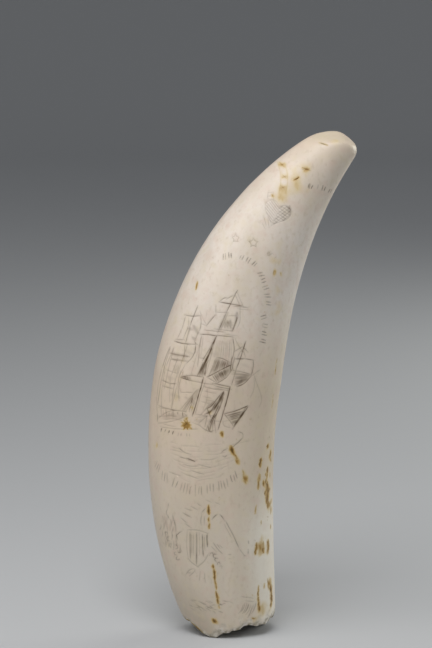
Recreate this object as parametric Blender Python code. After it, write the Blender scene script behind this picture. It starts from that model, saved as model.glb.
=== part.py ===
"""Scrimshaw whale tooth, standing upright on its broken root.

The tooth is one solid. A tapering wall of oval section follows a curved centreline and ends in a
blunt nose with two small worn facets. The pulp cavity is a cone that opens downwards through the
root, and the root's edge is broken: it touches the table at three short lands and rises between
them.
Metres, +Z up. The curve lies in the XZ plane, with the tip leaning to +X.
"""
from math import cos, pi, radians, sin

import bmesh
import bpy
import numpy as np
from mathutils import Vector

MM = 0.001

# Centreline, measured along its length from the table upwards
LENGTH = 183.4 * MM
STUB_BELOW_TABLE = 8 * MM
ROOT_LEAN = radians(-14.5)
LEAN_GAIN = radians(34.1)
LEAN_GAIN_NEAR_TIP = radians(30.4)
BACK_BEND = 4 * MM

# Oval section: half its width across the curve, and its depth as a share of its width
ROOT_HALF_WIDTH = 14.2 * MM
BELLY_HALF_WIDTH = 21.4 * MM
TIP_HALF_WIDTH = 6.1 * MM
BELLY_AT = 0.48
ROOT_FULLNESS = 3.0
TIP_FULLNESS = 1.57
ROOT_DEPTH_SHARE = 0.77
TIP_DEPTH_SHARE = 0.92

# Blunt nose and the two facets worn across its top: a point of each and the way it faces
NOSE_LENGTH = 5 * MM
NOSE_SQUARENESS = 3.2
FACETS = (
    (Vector((34.2, 3.1, 169.0)) * MM, Vector((0.03, -0.26, 0.964))),
    (Vector((33.3, 3.1, 170.2)) * MM, Vector((0.50, -0.18, 0.82))),
)

# Pulp cavity
CAVITY_DEPTH = 46 * MM
WALL_AT_RIM = 4.5 * MM
CAVITY_TAPER = 1.6

# Broken rim: angle round the root from +X in degrees, and height above the table
RIM_LANDS = ((-127.5, -112.5), (37.5, 52.5), (135, 150))
RIM_CRESTS = (
    (-180, 4.5 * MM), (-165, 4.4 * MM), (-149, 3.8 * MM), (-135, 1.3 * MM), (-103, 1.8 * MM),
    (-94, 2.3 * MM), (-81, 3.4 * MM), (-78, 4.0 * MM), (-67, 4.8 * MM), (-53, 4.1 * MM),
    (-41, 4.0 * MM), (-28, 5.0 * MM), (-10, 6.0 * MM), (2, 5.4 * MM), (18, 3.0 * MM),
    (72, 1.5 * MM), (96, 1.0 * MM), (118, 1.7 * MM), (165, 3.0 * MM),
)

# Fineness of the faceted solid
SEGMENTS = 48
BODY_RINGS = 42
NOSE_RINGS = 8
CAVITY_RINGS = 12
CENTRELINE_STEPS = 800
FOOT_SEARCH_STEPS = 40

IVORY_COLOUR = (0.60, 0.52, 0.42, 1.0)
IVORY_ROUGHNESS = 0.36


def clear_scene():
    for thing in list(bpy.data.objects):
        bpy.data.objects.remove(thing, do_unlink=True)


def lean_at(along):
    """Angle of the centreline from the vertical: it grows with the square of the way along."""
    share = along / LENGTH
    return ROOT_LEAN + LEAN_GAIN * share + LEAN_GAIN_NEAR_TIP * share ** 2


def trace_centreline():
    """Add up short steps along the lean, with zero length and zero height at the table."""
    along = np.linspace(-STUB_BELOW_TABLE, LENGTH, CENTRELINE_STEPS)
    lean = lean_at(along)
    step = along[1] - along[0]
    across = np.concatenate(([0.0], np.cumsum((np.sin(lean[1:]) + np.sin(lean[:-1])) * step / 2)))
    height = np.concatenate(([0.0], np.cumsum((np.cos(lean[1:]) + np.cos(lean[:-1])) * step / 2)))
    across -= np.interp(0.0, along, across)
    height -= np.interp(0.0, along, height)
    return along, across, height


CENTRELINE = trace_centreline()


def outer_half_width(along):
    """Swell from the root to the belly, taper to the tip, and round off over the nose."""
    share = along / LENGTH
    if share < BELLY_AT:
        drop = ((BELLY_AT - share) / BELLY_AT) ** ROOT_FULLNESS
        return BELLY_HALF_WIDTH - (BELLY_HALF_WIDTH - ROOT_HALF_WIDTH) * drop
    drop = ((share - BELLY_AT) / (1 - BELLY_AT)) ** TIP_FULLNESS
    width = BELLY_HALF_WIDTH - (BELLY_HALF_WIDTH - TIP_HALF_WIDTH) * drop
    into_nose = max(0.0, along - (LENGTH - NOSE_LENGTH)) / NOSE_LENGTH
    return width * max(0.0, 1 - into_nose ** NOSE_SQUARENESS) ** (1 / NOSE_SQUARENESS)


def depth_share(along):
    share = along / LENGTH
    return ROOT_DEPTH_SHARE + (TIP_DEPTH_SHARE - ROOT_DEPTH_SHARE) * share ** 2


def section_point(along, angle, half_width, half_depth):
    """Point at an angle round the oval section that stands square to the centreline."""
    across = float(np.interp(along, CENTRELINE[0], CENTRELINE[1]))
    height = float(np.interp(along, CENTRELINE[0], CENTRELINE[2]))
    lean = lean_at(along)
    back = BACK_BEND * max(0.0, along / LENGTH) ** 2
    sideways = half_width * cos(angle)
    return Vector((
        across + cos(lean) * sideways,
        back + half_depth * sin(angle),
        height - sin(lean) * sideways,
    ))


def outer_point(along, angle):
    width = outer_half_width(along)
    return section_point(along, angle, width, width * depth_share(along))


def cavity_point(along, angle):
    """The cavity keeps the wall's thickness at the rim and closes to a point at its full depth."""
    width = outer_half_width(along)
    depth = width * depth_share(along)
    openness = 1 - min(1.0, max(0.0, along) / CAVITY_DEPTH) ** CAVITY_TAPER
    return section_point(
        along, angle, (width - WALL_AT_RIM) * openness, (depth - WALL_AT_RIM) * openness)


def rim_height(angle):
    """Straight slopes between the crests and the flat lands of the broken rim."""
    lands = [(degrees, 0.0) for land in RIM_LANDS for degrees in land]
    profile = sorted(list(RIM_CRESTS) + lands)
    turns = [degrees for degrees, _ in profile]
    heights = [height for _, height in profile]
    return float(np.interp(np.degrees(angle), turns, heights, period=360))


def rim_along(surface_point, angle):
    """Distance along the centreline at which a column of the surface reaches the broken rim."""
    target = rim_height(angle)
    low, high = -STUB_BELOW_TABLE, LENGTH / 4
    for _ in range(FOOT_SEARCH_STEPS):
        middle = (low + high) / 2
        if surface_point(middle, angle).z < target:
            low = middle
        else:
            high = middle
    return high


def add_ring(bm, points):
    verts = [bm.verts.new(point) for point in points]
    edges = [bm.edges.new((verts[i], verts[(i + 1) % len(verts)])) for i in range(len(verts))]
    return verts, edges


def outer_rings(bm, angles):
    feet = [rim_along(outer_point, angle) for angle in angles]
    shoulder = LENGTH - NOSE_LENGTH
    rings = []
    for ring in range(BODY_RINGS):
        share = ring / BODY_RINGS
        rings.append(add_ring(bm, [
            outer_point(foot + (shoulder - foot) * share, angle)
            for foot, angle in zip(feet, angles)]))
    for ring in range(NOSE_RINGS):
        along = shoulder + NOSE_LENGTH * sin(ring / NOSE_RINGS * pi / 2)
        rings.append(add_ring(bm, [outer_point(along, angle) for angle in angles]))
    return rings


def cavity_rings(bm, angles):
    feet = [rim_along(cavity_point, angle) for angle in angles]
    rings = []
    for ring in range(CAVITY_RINGS):
        share = ring / CAVITY_RINGS
        rings.append(add_ring(bm, [
            cavity_point(foot + (CAVITY_DEPTH - foot) * share, angle)
            for foot, angle in zip(feet, angles)]))
    return rings


def cut_facets(bm):
    """Slice the nose along each facet's plane and close the slice with one flat face."""
    for point, normal in FACETS:
        geometry = bm.verts[:] + bm.edges[:] + bm.faces[:]
        cut = bmesh.ops.bisect_plane(
            bm, geom=geometry, plane_co=point, plane_no=normal, clear_outer=True)
        rim = [edge for edge in cut["geom_cut"] if isinstance(edge, bmesh.types.BMEdge)]
        bmesh.ops.holes_fill(bm, edges=rim)


def stand_over_origin(bm):
    """Centre the box round the tooth over the origin, leaving its lands on the table."""
    for axis in (0, 1):
        values = [vert.co[axis] for vert in bm.verts]
        middle = (min(values) + max(values)) / 2
        for vert in bm.verts:
            vert.co[axis] -= middle


def ivory_material():
    material = bpy.data.materials.new("polished_ivory")
    material.use_nodes = True
    shader = material.node_tree.nodes["Principled BSDF"]
    shader.inputs["Base Color"].default_value = IVORY_COLOUR
    shader.inputs["Roughness"].default_value = IVORY_ROUGHNESS
    shader.inputs["Metallic"].default_value = 0.0
    return material


def build_tooth():
    bm = bmesh.new()
    angles = [2 * pi * segment / SEGMENTS for segment in range(SEGMENTS)]
    outer = outer_rings(bm, angles)
    cavity = cavity_rings(bm, angles)
    loops = cavity[::-1] + outer
    for (_, lower_edges), (_, upper_edges) in zip(loops, loops[1:]):
        bmesh.ops.bridge_loops(bm, edges=lower_edges + upper_edges)
    bm.faces.new(outer[-1][0])
    bm.faces.new(cavity[-1][0])
    cut_facets(bm)
    stand_over_origin(bm)
    bmesh.ops.recalc_face_normals(bm, faces=bm.faces[:])
    mesh = bpy.data.meshes.new("tooth")
    bm.to_mesh(mesh)
    bm.free()
    mesh.shade_smooth()
    mesh.set_sharp_from_angle(angle=radians(40))
    mesh.materials.append(ivory_material())
    tooth = bpy.data.objects.new("tooth", mesh)
    bpy.context.scene.collection.objects.link(tooth)


clear_scene()
build_tooth()
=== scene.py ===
"""The finish of a scrimshaw whale tooth that stands on its broken root: its polished ivory, the
picture cut into its front, the yellowed and cracked places, and the worn tip and crumbled rim.

Sizes are in millimetres and are turned into metres only when the mesh is made.
"""
from collections import namedtuple
from itertools import product

import bpy
import numpy as np
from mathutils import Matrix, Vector
from mathutils.geometry import delaunay_2d_cdt


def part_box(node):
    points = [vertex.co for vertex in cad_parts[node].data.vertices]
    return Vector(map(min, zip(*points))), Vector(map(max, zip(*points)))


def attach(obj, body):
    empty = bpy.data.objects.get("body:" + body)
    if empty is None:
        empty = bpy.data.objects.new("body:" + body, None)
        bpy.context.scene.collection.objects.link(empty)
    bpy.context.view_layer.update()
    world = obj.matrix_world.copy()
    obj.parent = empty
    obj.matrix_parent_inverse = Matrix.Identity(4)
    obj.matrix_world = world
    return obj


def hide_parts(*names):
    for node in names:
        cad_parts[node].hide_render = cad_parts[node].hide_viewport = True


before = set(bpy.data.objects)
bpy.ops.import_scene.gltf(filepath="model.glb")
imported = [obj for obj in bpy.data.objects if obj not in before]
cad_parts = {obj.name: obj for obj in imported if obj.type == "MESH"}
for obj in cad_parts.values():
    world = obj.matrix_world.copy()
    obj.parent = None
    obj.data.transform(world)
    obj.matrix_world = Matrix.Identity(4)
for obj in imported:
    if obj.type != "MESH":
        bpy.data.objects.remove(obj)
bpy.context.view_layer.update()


# ---------------------------------------------------------------------------------------------
# The tooth itself. One sperm whale's tooth, filed smooth and hand-polished. An oval section runs
# along a centreline that leans further and further over, swells to a belly and ends in a blunt
# nose. The root is hollow, and its edge has broken away unevenly.

METRE = 1000.0
tooth_low, tooth_high = (np.array(corner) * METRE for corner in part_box("tooth"))
tooth_middle = (tooth_low + tooth_high) / 2

LENGTH = 183.4
ROOT_LEAN, LEAN_GAIN, LEAN_GAIN_NEAR_TIP = np.radians((-14.5, 34.1, 30.4))
BACK_BEND = 4.0
ROOT_HALF_WIDTH, BELLY_HALF_WIDTH, TIP_HALF_WIDTH = 14.2, 21.4, 6.1
BELLY_AT, ROOT_FULLNESS, TIP_FULLNESS = 0.48, 3.0, 1.57
ROOT_DEPTH_SHARE, TIP_DEPTH_SHARE = 0.77, 0.92
NOSE_LENGTH, NOSE_SQUARENESS = 5.0, 3.2
SHOULDER = LENGTH - NOSE_LENGTH
STUB_BELOW_TABLE = 8.0

trace = np.linspace(-STUB_BELOW_TABLE, LENGTH, 1200)


def lean_at(along):
    """Angle from the vertical: the root's lean, plus a share of the way up, plus its square."""
    share = along / LENGTH
    return ROOT_LEAN + LEAN_GAIN * share + LEAN_GAIN_NEAR_TIP * share ** 2


def running_sum(slope):
    """Trapezoid sum of a slope along the trace, zero at the table."""
    step = trace[1] - trace[0]
    total = np.concatenate(([0.0], np.cumsum((slope[1:] + slope[:-1]) * step / 2)))
    return total - np.interp(0.0, trace, total)


trace_across = running_sum(np.sin(lean_at(trace)))
trace_height = running_sum(np.cos(lean_at(trace)))


def half_width(along):
    """Belly width, less a power of the way down to the root or up to the tip, rounded at the nose."""
    share = along / LENGTH
    to_root = np.clip((BELLY_AT - share) / BELLY_AT, 0, None) ** ROOT_FULLNESS
    to_tip = np.clip((share - BELLY_AT) / (1 - BELLY_AT), 0, None) ** TIP_FULLNESS
    width = (BELLY_HALF_WIDTH - (BELLY_HALF_WIDTH - ROOT_HALF_WIDTH) * to_root
             - (BELLY_HALF_WIDTH - TIP_HALF_WIDTH) * to_tip)
    into_nose = np.clip((along - SHOULDER) / NOSE_LENGTH, 0, 1)
    return width * (1 - into_nose ** NOSE_SQUARENESS) ** (1 / NOSE_SQUARENESS)


def half_depth(along):
    """Half width times a share that grows from root to tip with the square of the way along."""
    share = along / LENGTH
    return half_width(along) * (ROOT_DEPTH_SHARE + (TIP_DEPTH_SHARE - ROOT_DEPTH_SHARE) * share ** 2)


def oval(turn, along, width, depth):
    """Point at a turn round the oval that stands square to the centreline.

    Turn 0 faces the front and a quarter turn faces the side that the tip leans to.
    """
    lean = lean_at(along)
    sideways = width * np.sin(turn)
    across = np.interp(along, trace, trace_across) + np.cos(lean) * sideways
    height = np.interp(along, trace, trace_height) - np.sin(lean) * sideways
    back = BACK_BEND * np.clip(along / LENGTH, 0, None) ** 2 - depth * np.cos(turn)
    return np.stack(np.broadcast_arrays(across, back, height), axis=-1)


form_turn, form_along = np.meshgrid(np.linspace(-np.pi, np.pi, 361), trace[trace > 0])
form = oval(form_turn, form_along, half_width(form_along), half_depth(form_along))
form_middle = (form.min(axis=(0, 1)) + form.max(axis=(0, 1))) / 2
stand_at = (tooth_middle - form_middle) * (1, 1, 0)


HASH_WAY, HASH_SEED, HASH_SPREAD = (127.1, 311.7, 74.7), 19.19, 43758.5453


def grain(point, size, seed):
    """Smooth scatter from -1 to 1: every corner of a cubic lattice gets a fixed scattered value, the
    fraction left of a large multiple of a sine, and a smoothstep blends the eight corners round the
    point."""
    cell = point / size
    corner = np.floor(cell)
    part = cell - corner
    part = part * part * (3 - 2 * part)
    total = 0.0
    for step in product((0, 1), repeat=3):
        scatter = np.sin((corner + step) @ HASH_WAY + seed * HASH_SEED) * HASH_SPREAD
        weight = np.prod(np.where(np.array(step, bool), part, 1 - part), axis=-1)
        total = total + (scatter - np.floor(scatter)) * weight
    return 2 * total - 1


# Two worn facets on the tip: where each lies, the way it faces and how softly it ends.
FACETS = (
    ((34.2, 3.1, 169.4), (0.03, -0.26, 0.964), 1.5),
    ((33.3, 3.1, 170.4), (0.50, -0.18, 0.82), 0.6),
)
FILE_RELIEF, FILE_LENGTH = 0.22, 13.0
POLISH_RELIEF, POLISH_LENGTH = 0.04, 4.0
NOSE_FADE = 8.0
STRETCHED_ALONG = (1.0, 1.0, 0.45)


def skin(turn, along):
    """The oval form, plus the low swells that file and polishing left, less whatever stands above
    a facet's plane: the height over it is cut by half of itself plus its eased absolute value."""
    point = oval(turn, along, half_width(along), half_depth(along))
    lean = lean_at(along)
    outward = np.stack([np.cos(lean) * np.sin(turn), -np.cos(turn), -np.sin(lean) * np.sin(turn)], -1)
    swell = (FILE_RELIEF * grain(point * STRETCHED_ALONG, FILE_LENGTH, 1)
             + POLISH_RELIEF * grain(point * STRETCHED_ALONG, POLISH_LENGTH, 2))
    swell = swell * np.clip((LENGTH - along) / NOSE_FADE, 0, 1)
    point = point + outward * swell[..., None]
    for place, facing, ease in FACETS:
        facing = np.array(facing) / np.linalg.norm(facing)
        over = (point - place) @ facing
        point = point - facing * ((over + np.hypot(over, ease)) / 2)[..., None]
    return point + stand_at


def skin_slopes(turn, along):
    """Change of the skin's point for one radian round and one millimetre along."""
    nudge = 0.002
    by_turn = (skin(turn + nudge, along) - skin(turn - nudge, along)) / (2 * nudge)
    by_along = (skin(turn, along + nudge) - skin(turn, along - nudge)) / (2 * nudge)
    return by_turn, by_along


ALMOST_ZERO = 1e-6


def skin_normal(turn, along):
    """Cross product of the two slopes; at the nose's pole, the centreline's own direction."""
    normal = np.cross(*skin_slopes(turn, along))
    lean = lean_at(along)
    size = np.linalg.norm(normal, axis=-1, keepdims=True)
    axis = np.stack([np.sin(lean), np.zeros_like(lean), np.cos(lean)], axis=-1)
    return np.where(size > ALMOST_ZERO, normal / np.maximum(size, ALMOST_ZERO), axis)


# The broken rim: turn in degrees and height above the table. It stands on three short lands.
RIM_LANDS = ((-35, -25), (127.5, 142.5), (-135, -120))
RIM_CRESTS = (
    (-174, 1.0), (-152, 1.7), (-105, 3.0), (-90, 4.5), (-75, 4.4), (-59, 3.8), (-45, 1.3),
    (-13, 1.8), (-4, 2.3), (9, 3.4), (12, 4.0), (23, 4.8), (37, 4.1), (49, 4.0), (62, 5.0),
    (80, 6.0), (92, 5.4), (108, 3.0), (162, 1.5),
)
RIM_COLUMNS = 240
CRUMBLE, CRUMBLE_SIZE = 0.35, 1.6
GRIT, GRIT_SIZE = 0.4, 0.6
HALVINGS = 30
rim_profile = np.array(sorted(RIM_CRESTS + tuple((turn, 0.0) for land in RIM_LANDS for turn in land)))


def rim_height(turn):
    """Straight slopes between crests and lands, roughened only where the rim is off the table."""
    height = np.interp(np.degrees(turn), *rim_profile.T, period=360)
    round_root = np.stack([np.cos(turn), np.sin(turn), np.zeros_like(turn)], -1) * ROOT_HALF_WIDTH
    rough = grain(round_root, CRUMBLE_SIZE, 3) + GRIT * grain(round_root, GRIT_SIZE, 4)
    rough = CRUMBLE * rough
    return height + rough * np.clip(height, 0, 1)


def rise_to(surface, turn, height):
    """Distance along the centreline at which each column of a surface reaches a height: halving."""
    low = np.full_like(turn, -STUB_BELOW_TABLE)
    high = np.full_like(turn, LENGTH / 4)
    for _ in range(HALVINGS):
        middle = (low + high) / 2
        under = surface(turn, middle)[..., 2] < height
        low, high = np.where(under, middle, low), np.where(under, high, middle)
    return high


rim_turns = np.linspace(-np.pi, np.pi, RIM_COLUMNS + 1)
rim_feet = rise_to(skin, rim_turns, rim_height(rim_turns))

# Flat pattern of the skin: x is the turn times the oval's mean radius, y runs up from the rim and
# follows the curve of the nose, so triangles laid out on it stay nearly true on the tooth.
RIM_BLEND = 40.0
NOSE_ARC = 9.0
PATTERN_TOP = SHOULDER + NOSE_ARC


def along_from(turn, up):
    """Distance along the centreline at a height on the pattern: the height plus what is left of the
    column's foot, and over the nose the sine of the share of its arc."""
    foot = np.interp(turn, rim_turns, rim_feet)
    body = up + foot * np.clip(1 - up / RIM_BLEND, 0, 1)
    nose = SHOULDER + NOSE_LENGTH * np.sin(np.clip((up - SHOULDER) / NOSE_ARC, 0, 1) * np.pi / 2)
    return np.where(up < SHOULDER, body, nose)


def up_from(turn, along):
    """The same the other way round: the height on the pattern at a distance along."""
    foot = np.interp(turn, rim_turns, rim_feet)
    body = np.where(along < RIM_BLEND, (along - foot) / (1 - foot / RIM_BLEND), along)
    into_nose = np.clip((along - SHOULDER) / NOSE_LENGTH, 0, 1)
    nose = SHOULDER + NOSE_ARC * np.arcsin(into_nose) * 2 / np.pi
    return np.where(along < SHOULDER, body, nose)


def pattern_radius(up):
    """Mean of the half width and the half depth."""
    along = np.where(up < SHOULDER, up, along_from(0.0, up))
    return (half_width(along) + half_depth(along)) / 2


def to_pattern(turn, along):
    """Turn times the mean radius, beside the height on the pattern."""
    up = up_from(turn, along)
    return np.stack([turn * pattern_radius(up), up], axis=-1)


# ---------------------------------------------------------------------------------------------
# The engraving. Every line is a shallow groove pricked and scratched with a needle, then rubbed
# with lamp black. A drawing is laid out in millimetres on the plane of the tooth's curve, x to
# the right of its middle and z above the table, and is carried straight back onto the front.

Groove = namedtuple("Groove", "path half depth ink stain halo taper behind")
drawn = []
STROKE_STEP = 0.8
TREMOR, TREMOR_LENGTH, TREMORS_APART = 0.07, 2.5, 5.3
chance = np.random.default_rng(1841)


def run_of(path):
    """Distance from a path's start to each of its points."""
    return np.concatenate(([0.0], np.cumsum(np.linalg.norm(np.diff(path, axis=0), axis=1))))


def cut(drawing, width=0.36, depth=0.07, ink=0.6, stain=0.0, halo=0.5, taper=0.9, behind=False):
    """One groove along a path: evenly spaced points, each moved a little by the hand's tremor. It
    lies on the front, or straight behind its place on the drawing."""
    drawing = np.asarray(drawing, float)
    run = run_of(drawing)
    even = np.linspace(0, run[-1], max(3, int(run[-1] / STROKE_STEP) + 2))
    path = np.stack([np.interp(even, run, drawing[:, axis]) for axis in (0, 1)], axis=-1)
    place = np.column_stack([path, np.full(len(path), TREMOR_LENGTH * TREMORS_APART * len(drawn))])
    tremor = np.stack([grain(place, TREMOR_LENGTH, seed) for seed in (5, 6)], axis=-1)
    drawn.append(Groove(path + TREMOR * tremor, width / 2, depth, ink, stain, halo, taper, behind))


def bow(start, end, sag=0.0, steps=12):
    """Parabola between two points, standing off the straight line by the sag at its middle."""
    start, end = np.asarray(start, float), np.asarray(end, float)
    share = np.linspace(0, 1, steps)[:, None]
    across = np.array((start[1] - end[1], end[0] - start[0])) / (np.hypot(*(end - start)) + 1e-9)
    return start + (end - start) * share + across * sag * 4 * share * (1 - share)


def through(points, steps=8):
    """Catmull-Rom curve through a few points: a cubic from each to the next, whose slope at a point
    is half the way from the point before it to the one after."""
    points = np.asarray(points, float)
    run = np.vstack([2 * points[0] - points[1], points, 2 * points[-1] - points[-2]])
    share = np.linspace(0, 1, steps, endpoint=False)[:, None]
    a, b, c, d = (run[first:len(run) - 3 + first, None] for first in range(4))
    curve = (2 * b + (c - a) * share + (2 * a - 5 * b + 4 * c - d) * share ** 2
             + (3 * b - a - 3 * c + d) * share ** 3) / 2
    return np.vstack([curve.reshape(-1, 2), points[-1]])


def pairs(row):
    """Places of a row that gives them as x, z, x, z and so on."""
    return np.reshape(row, (-1, 2))


def lines(*rows):
    """Strokes. A row is one stroke's width, its ink, and the x and z of each place on its way."""
    for width, ink, *way in rows:
        cut(through(pairs(way)), width=width, depth=0.04 + 0.06 * ink, ink=ink)


def hatch(*rows):
    """Tone made of straight strokes from one edge to another, a little uneven in place and length.
    A row is the x and z of the ends of both edges, then the strokes' count, ink and width."""
    for *ends, count, ink, width in rows:
        head, foot = (bow(*edge, steps=60) for edge in np.reshape(ends, (2, 2, 2)))
        for share in np.linspace(0.04, 0.96, count) + chance.uniform(-0.3, 0.3, count) / count:
            start, end = (edge[int(np.clip(share, 0, 1) * (len(edge) - 1))] for edge in (head, foot))
            late_start, early_end = chance.uniform(0, 0.08), chance.uniform(0, 0.12)
            cut([start + (end - start) * late_start, end - (end - start) * early_end],
                width=width, depth=0.04, ink=ink)


def rub(*rows):
    """Soft tone where lamp black was rubbed into the bare surface: wide, faint and without depth.
    A row is like a stroke's."""
    for width, ink, *way in rows:
        cut(through(pairs(way)), width=1.4 * width, depth=0.0, ink=1.5 * ink, halo=0.9, taper=width)


# The ship: three masts raked to the right, with square sails that belly to the right and are
# shaded low down on that side, dark shrouds, a jib, and a hull that handling has nearly worn away.
# Main mast: its thin head with two yards, then the thick lower mast, dark down its left side.
lines(
    (0.42, 0.75, -4.9, 119.6, -7.2, 115.2, -8.6, 112.2), (0.36, 0.43, -8.6, 112.2, -11.4, 105.8),
    (0.36, 0.38, -8.0, 112.2, -10.4, 106.4), (0.5, 0.9, -10.9, 115.7, -7.0, 115.1, -3.4, 114.5),
    (0.36, 0.56, -6.4, 114.4, -1.4, 113.9), (0.36, 0.28, -5.0, 113.6, -0.8, 113.0),
    (0.42, 0.62, -10.8, 115.9, -9.4, 117.0, -8.4, 117.0), (0.4, 0.56, -8.6, 116.6, -6.2, 117.9),
    (0.36, 0.38, -5.8, 118.4, -4.2, 115.0),
)
rub((1.0, 0.28, -8.6, 112.0, -11.2, 106.0))
lines(
    (0.75, 0.98, -11.8, 104.7, -13.6, 100.3), (1.0, 0.98, -13.2, 101.2, -15.4, 95.8),
    (0.9, 0.62, -14.8, 97.6, -16.4, 93.6), (0.4, 0.62, -11.8, 104.4, -14.6, 99.6, -16.4, 96.4),
    (0.62, 0.98, -16.0, 90.9, -17.5, 85.6, -18.6, 81.4), (0.5, 0.88, -18.3, 82.6, -19.7, 78.0),
    (0.36, 0.4, -15.2, 90.2, -17.2, 84.2, -18.8, 78.6), (0.36, 0.35, -12.2, 103.4, -15.0, 92.4),
)
hatch((-16.2, 95.8, -14.8, 95.8, -18.2, 91.2, -15.4, 91.4, 7, 0.62, 0.5))

# Main topgallant sail, with a soft shadow and a dark right edge.
lines(
    (0.36, 0.38, -12.0, 114.8, -12.0, 111.8), (0.46, 0.69, -12.2, 111.4, -15.2, 107.8),
    (0.36, 0.38, -11.8, 112.4, -7.9, 112.2), (0.36, 0.35, -4.1, 114.2, -4.0, 109.7, -5.0, 107.2),
    (0.36, 0.31, -8.2, 111.2, -4.6, 111.3), (0.8, 0.69, -5.0, 110.4, -6.6, 106.2),
    (0.4, 0.44, -12.6, 106.9, -9.0, 106.6, -6.6, 106.2),
)
rub((1.0, 0.38, -5.0, 112.6, -5.2, 109.8))
for shift in (0.0, 0.9, 1.8):
    rub((1.1, 0.33, -8.9 + shift, 110.0, -9.0 + shift, 107.2))

# Topsail yard and topsail. Its lower right half is dark, under a diagonal fold.
lines(
    (0.5, 0.9, -16.9, 105.0, -14.4, 105.0, -11.8, 104.8), (0.4, 0.69, -11.6, 104.9, -6.0, 104.3),
    (0.36, 0.5, -15.8, 106.4, -12.2, 106.2, -8.8, 105.9), (0.36, 0.38, -8.8, 105.2, -5.0, 104.6),
    (0.36, 0.45, -16.7, 104.6, -17.4, 99.4, -17.9, 94.4), (0.36, 0.28, -16.1, 104.4, -16.9, 98.0),
    (0.42, 0.69, -6.4, 104.2, -5.9, 100.4, -6.5, 97.2), (0.62, 0.75, -6.6, 97.8, -7.2, 93.6),
    (0.45, 0.62, -5.8, 97.8, -6.7, 93.4), (0.42, 0.62, -11.8, 97.5, -9.8, 97.3, -7.4, 96.0),
    (0.48, 0.85, -14.9, 91.1, -10.6, 93.4, -6.8, 95.2),
    (0.42, 0.56, -12.0, 88.8, -8.6, 91.0, -6.6, 93.8), (0.4, 0.5, -14.6, 90.9, -12.0, 89.4),
    (0.36, 0.38, -17.7, 97.4, -15.4, 97.2),
)
hatch(
    (-11.8, 103.4, -6.6, 103.0, -12.6, 97.6, -6.8, 96.8, 14, 0.21, 0.4),
    (-12.2, 97.4, -7.0, 96.4, -14.4, 91.6, -7.2, 94.9, 17, 0.5, 0.48),
    (-13.4, 91.9, -6.9, 94.9, -11.6, 89.3, -6.7, 92.8, 18, 0.6, 0.46),
    (-15.6, 97.0, -14.0, 97.0, -17.6, 92.2, -16.6, 92.2, 5, 0.38, 0.36),
)
rub((1.8, 0.28, -12.4, 94.6, -8.2, 95.8), (1.8, 0.3, -12.2, 91.0, -7.4, 93.6))

# Main yard, with a dark wedge at its left end, and the course under it.
lines(
    (0.45, 0.75, -23.7, 90.6, -20.0, 91.4, -16.2, 91.1), (0.5, 0.81, -23.6, 90.5, -20.2, 89.7),
    (0.36, 0.43, -20.2, 89.7, -15.0, 88.9, -12.4, 88.6), (0.45, 0.75, -12.8, 89.1, -7.2, 87.8),
    (0.42, 0.62, -12.4, 88.2, -7.0, 87.0), (0.36, 0.43, -12.0, 87.4, -7.6, 86.5),
    (0.36, 0.45, -24.2, 89.4, -24.0, 87.0, -23.5, 85.6), (0.36, 0.38, -23.5, 85.5, -19.4, 85.8),
    (0.36, 0.3, -14.8, 87.6, -15.0, 83.6, -16.2, 80.2), (0.36, 0.3, -14.6, 83.4, -12.2, 83.0),
)
hatch((-23.0, 90.8, -20.3, 91.2, -22.4, 90.3, -20.2, 89.9, 9, 0.75, 0.5))

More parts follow.
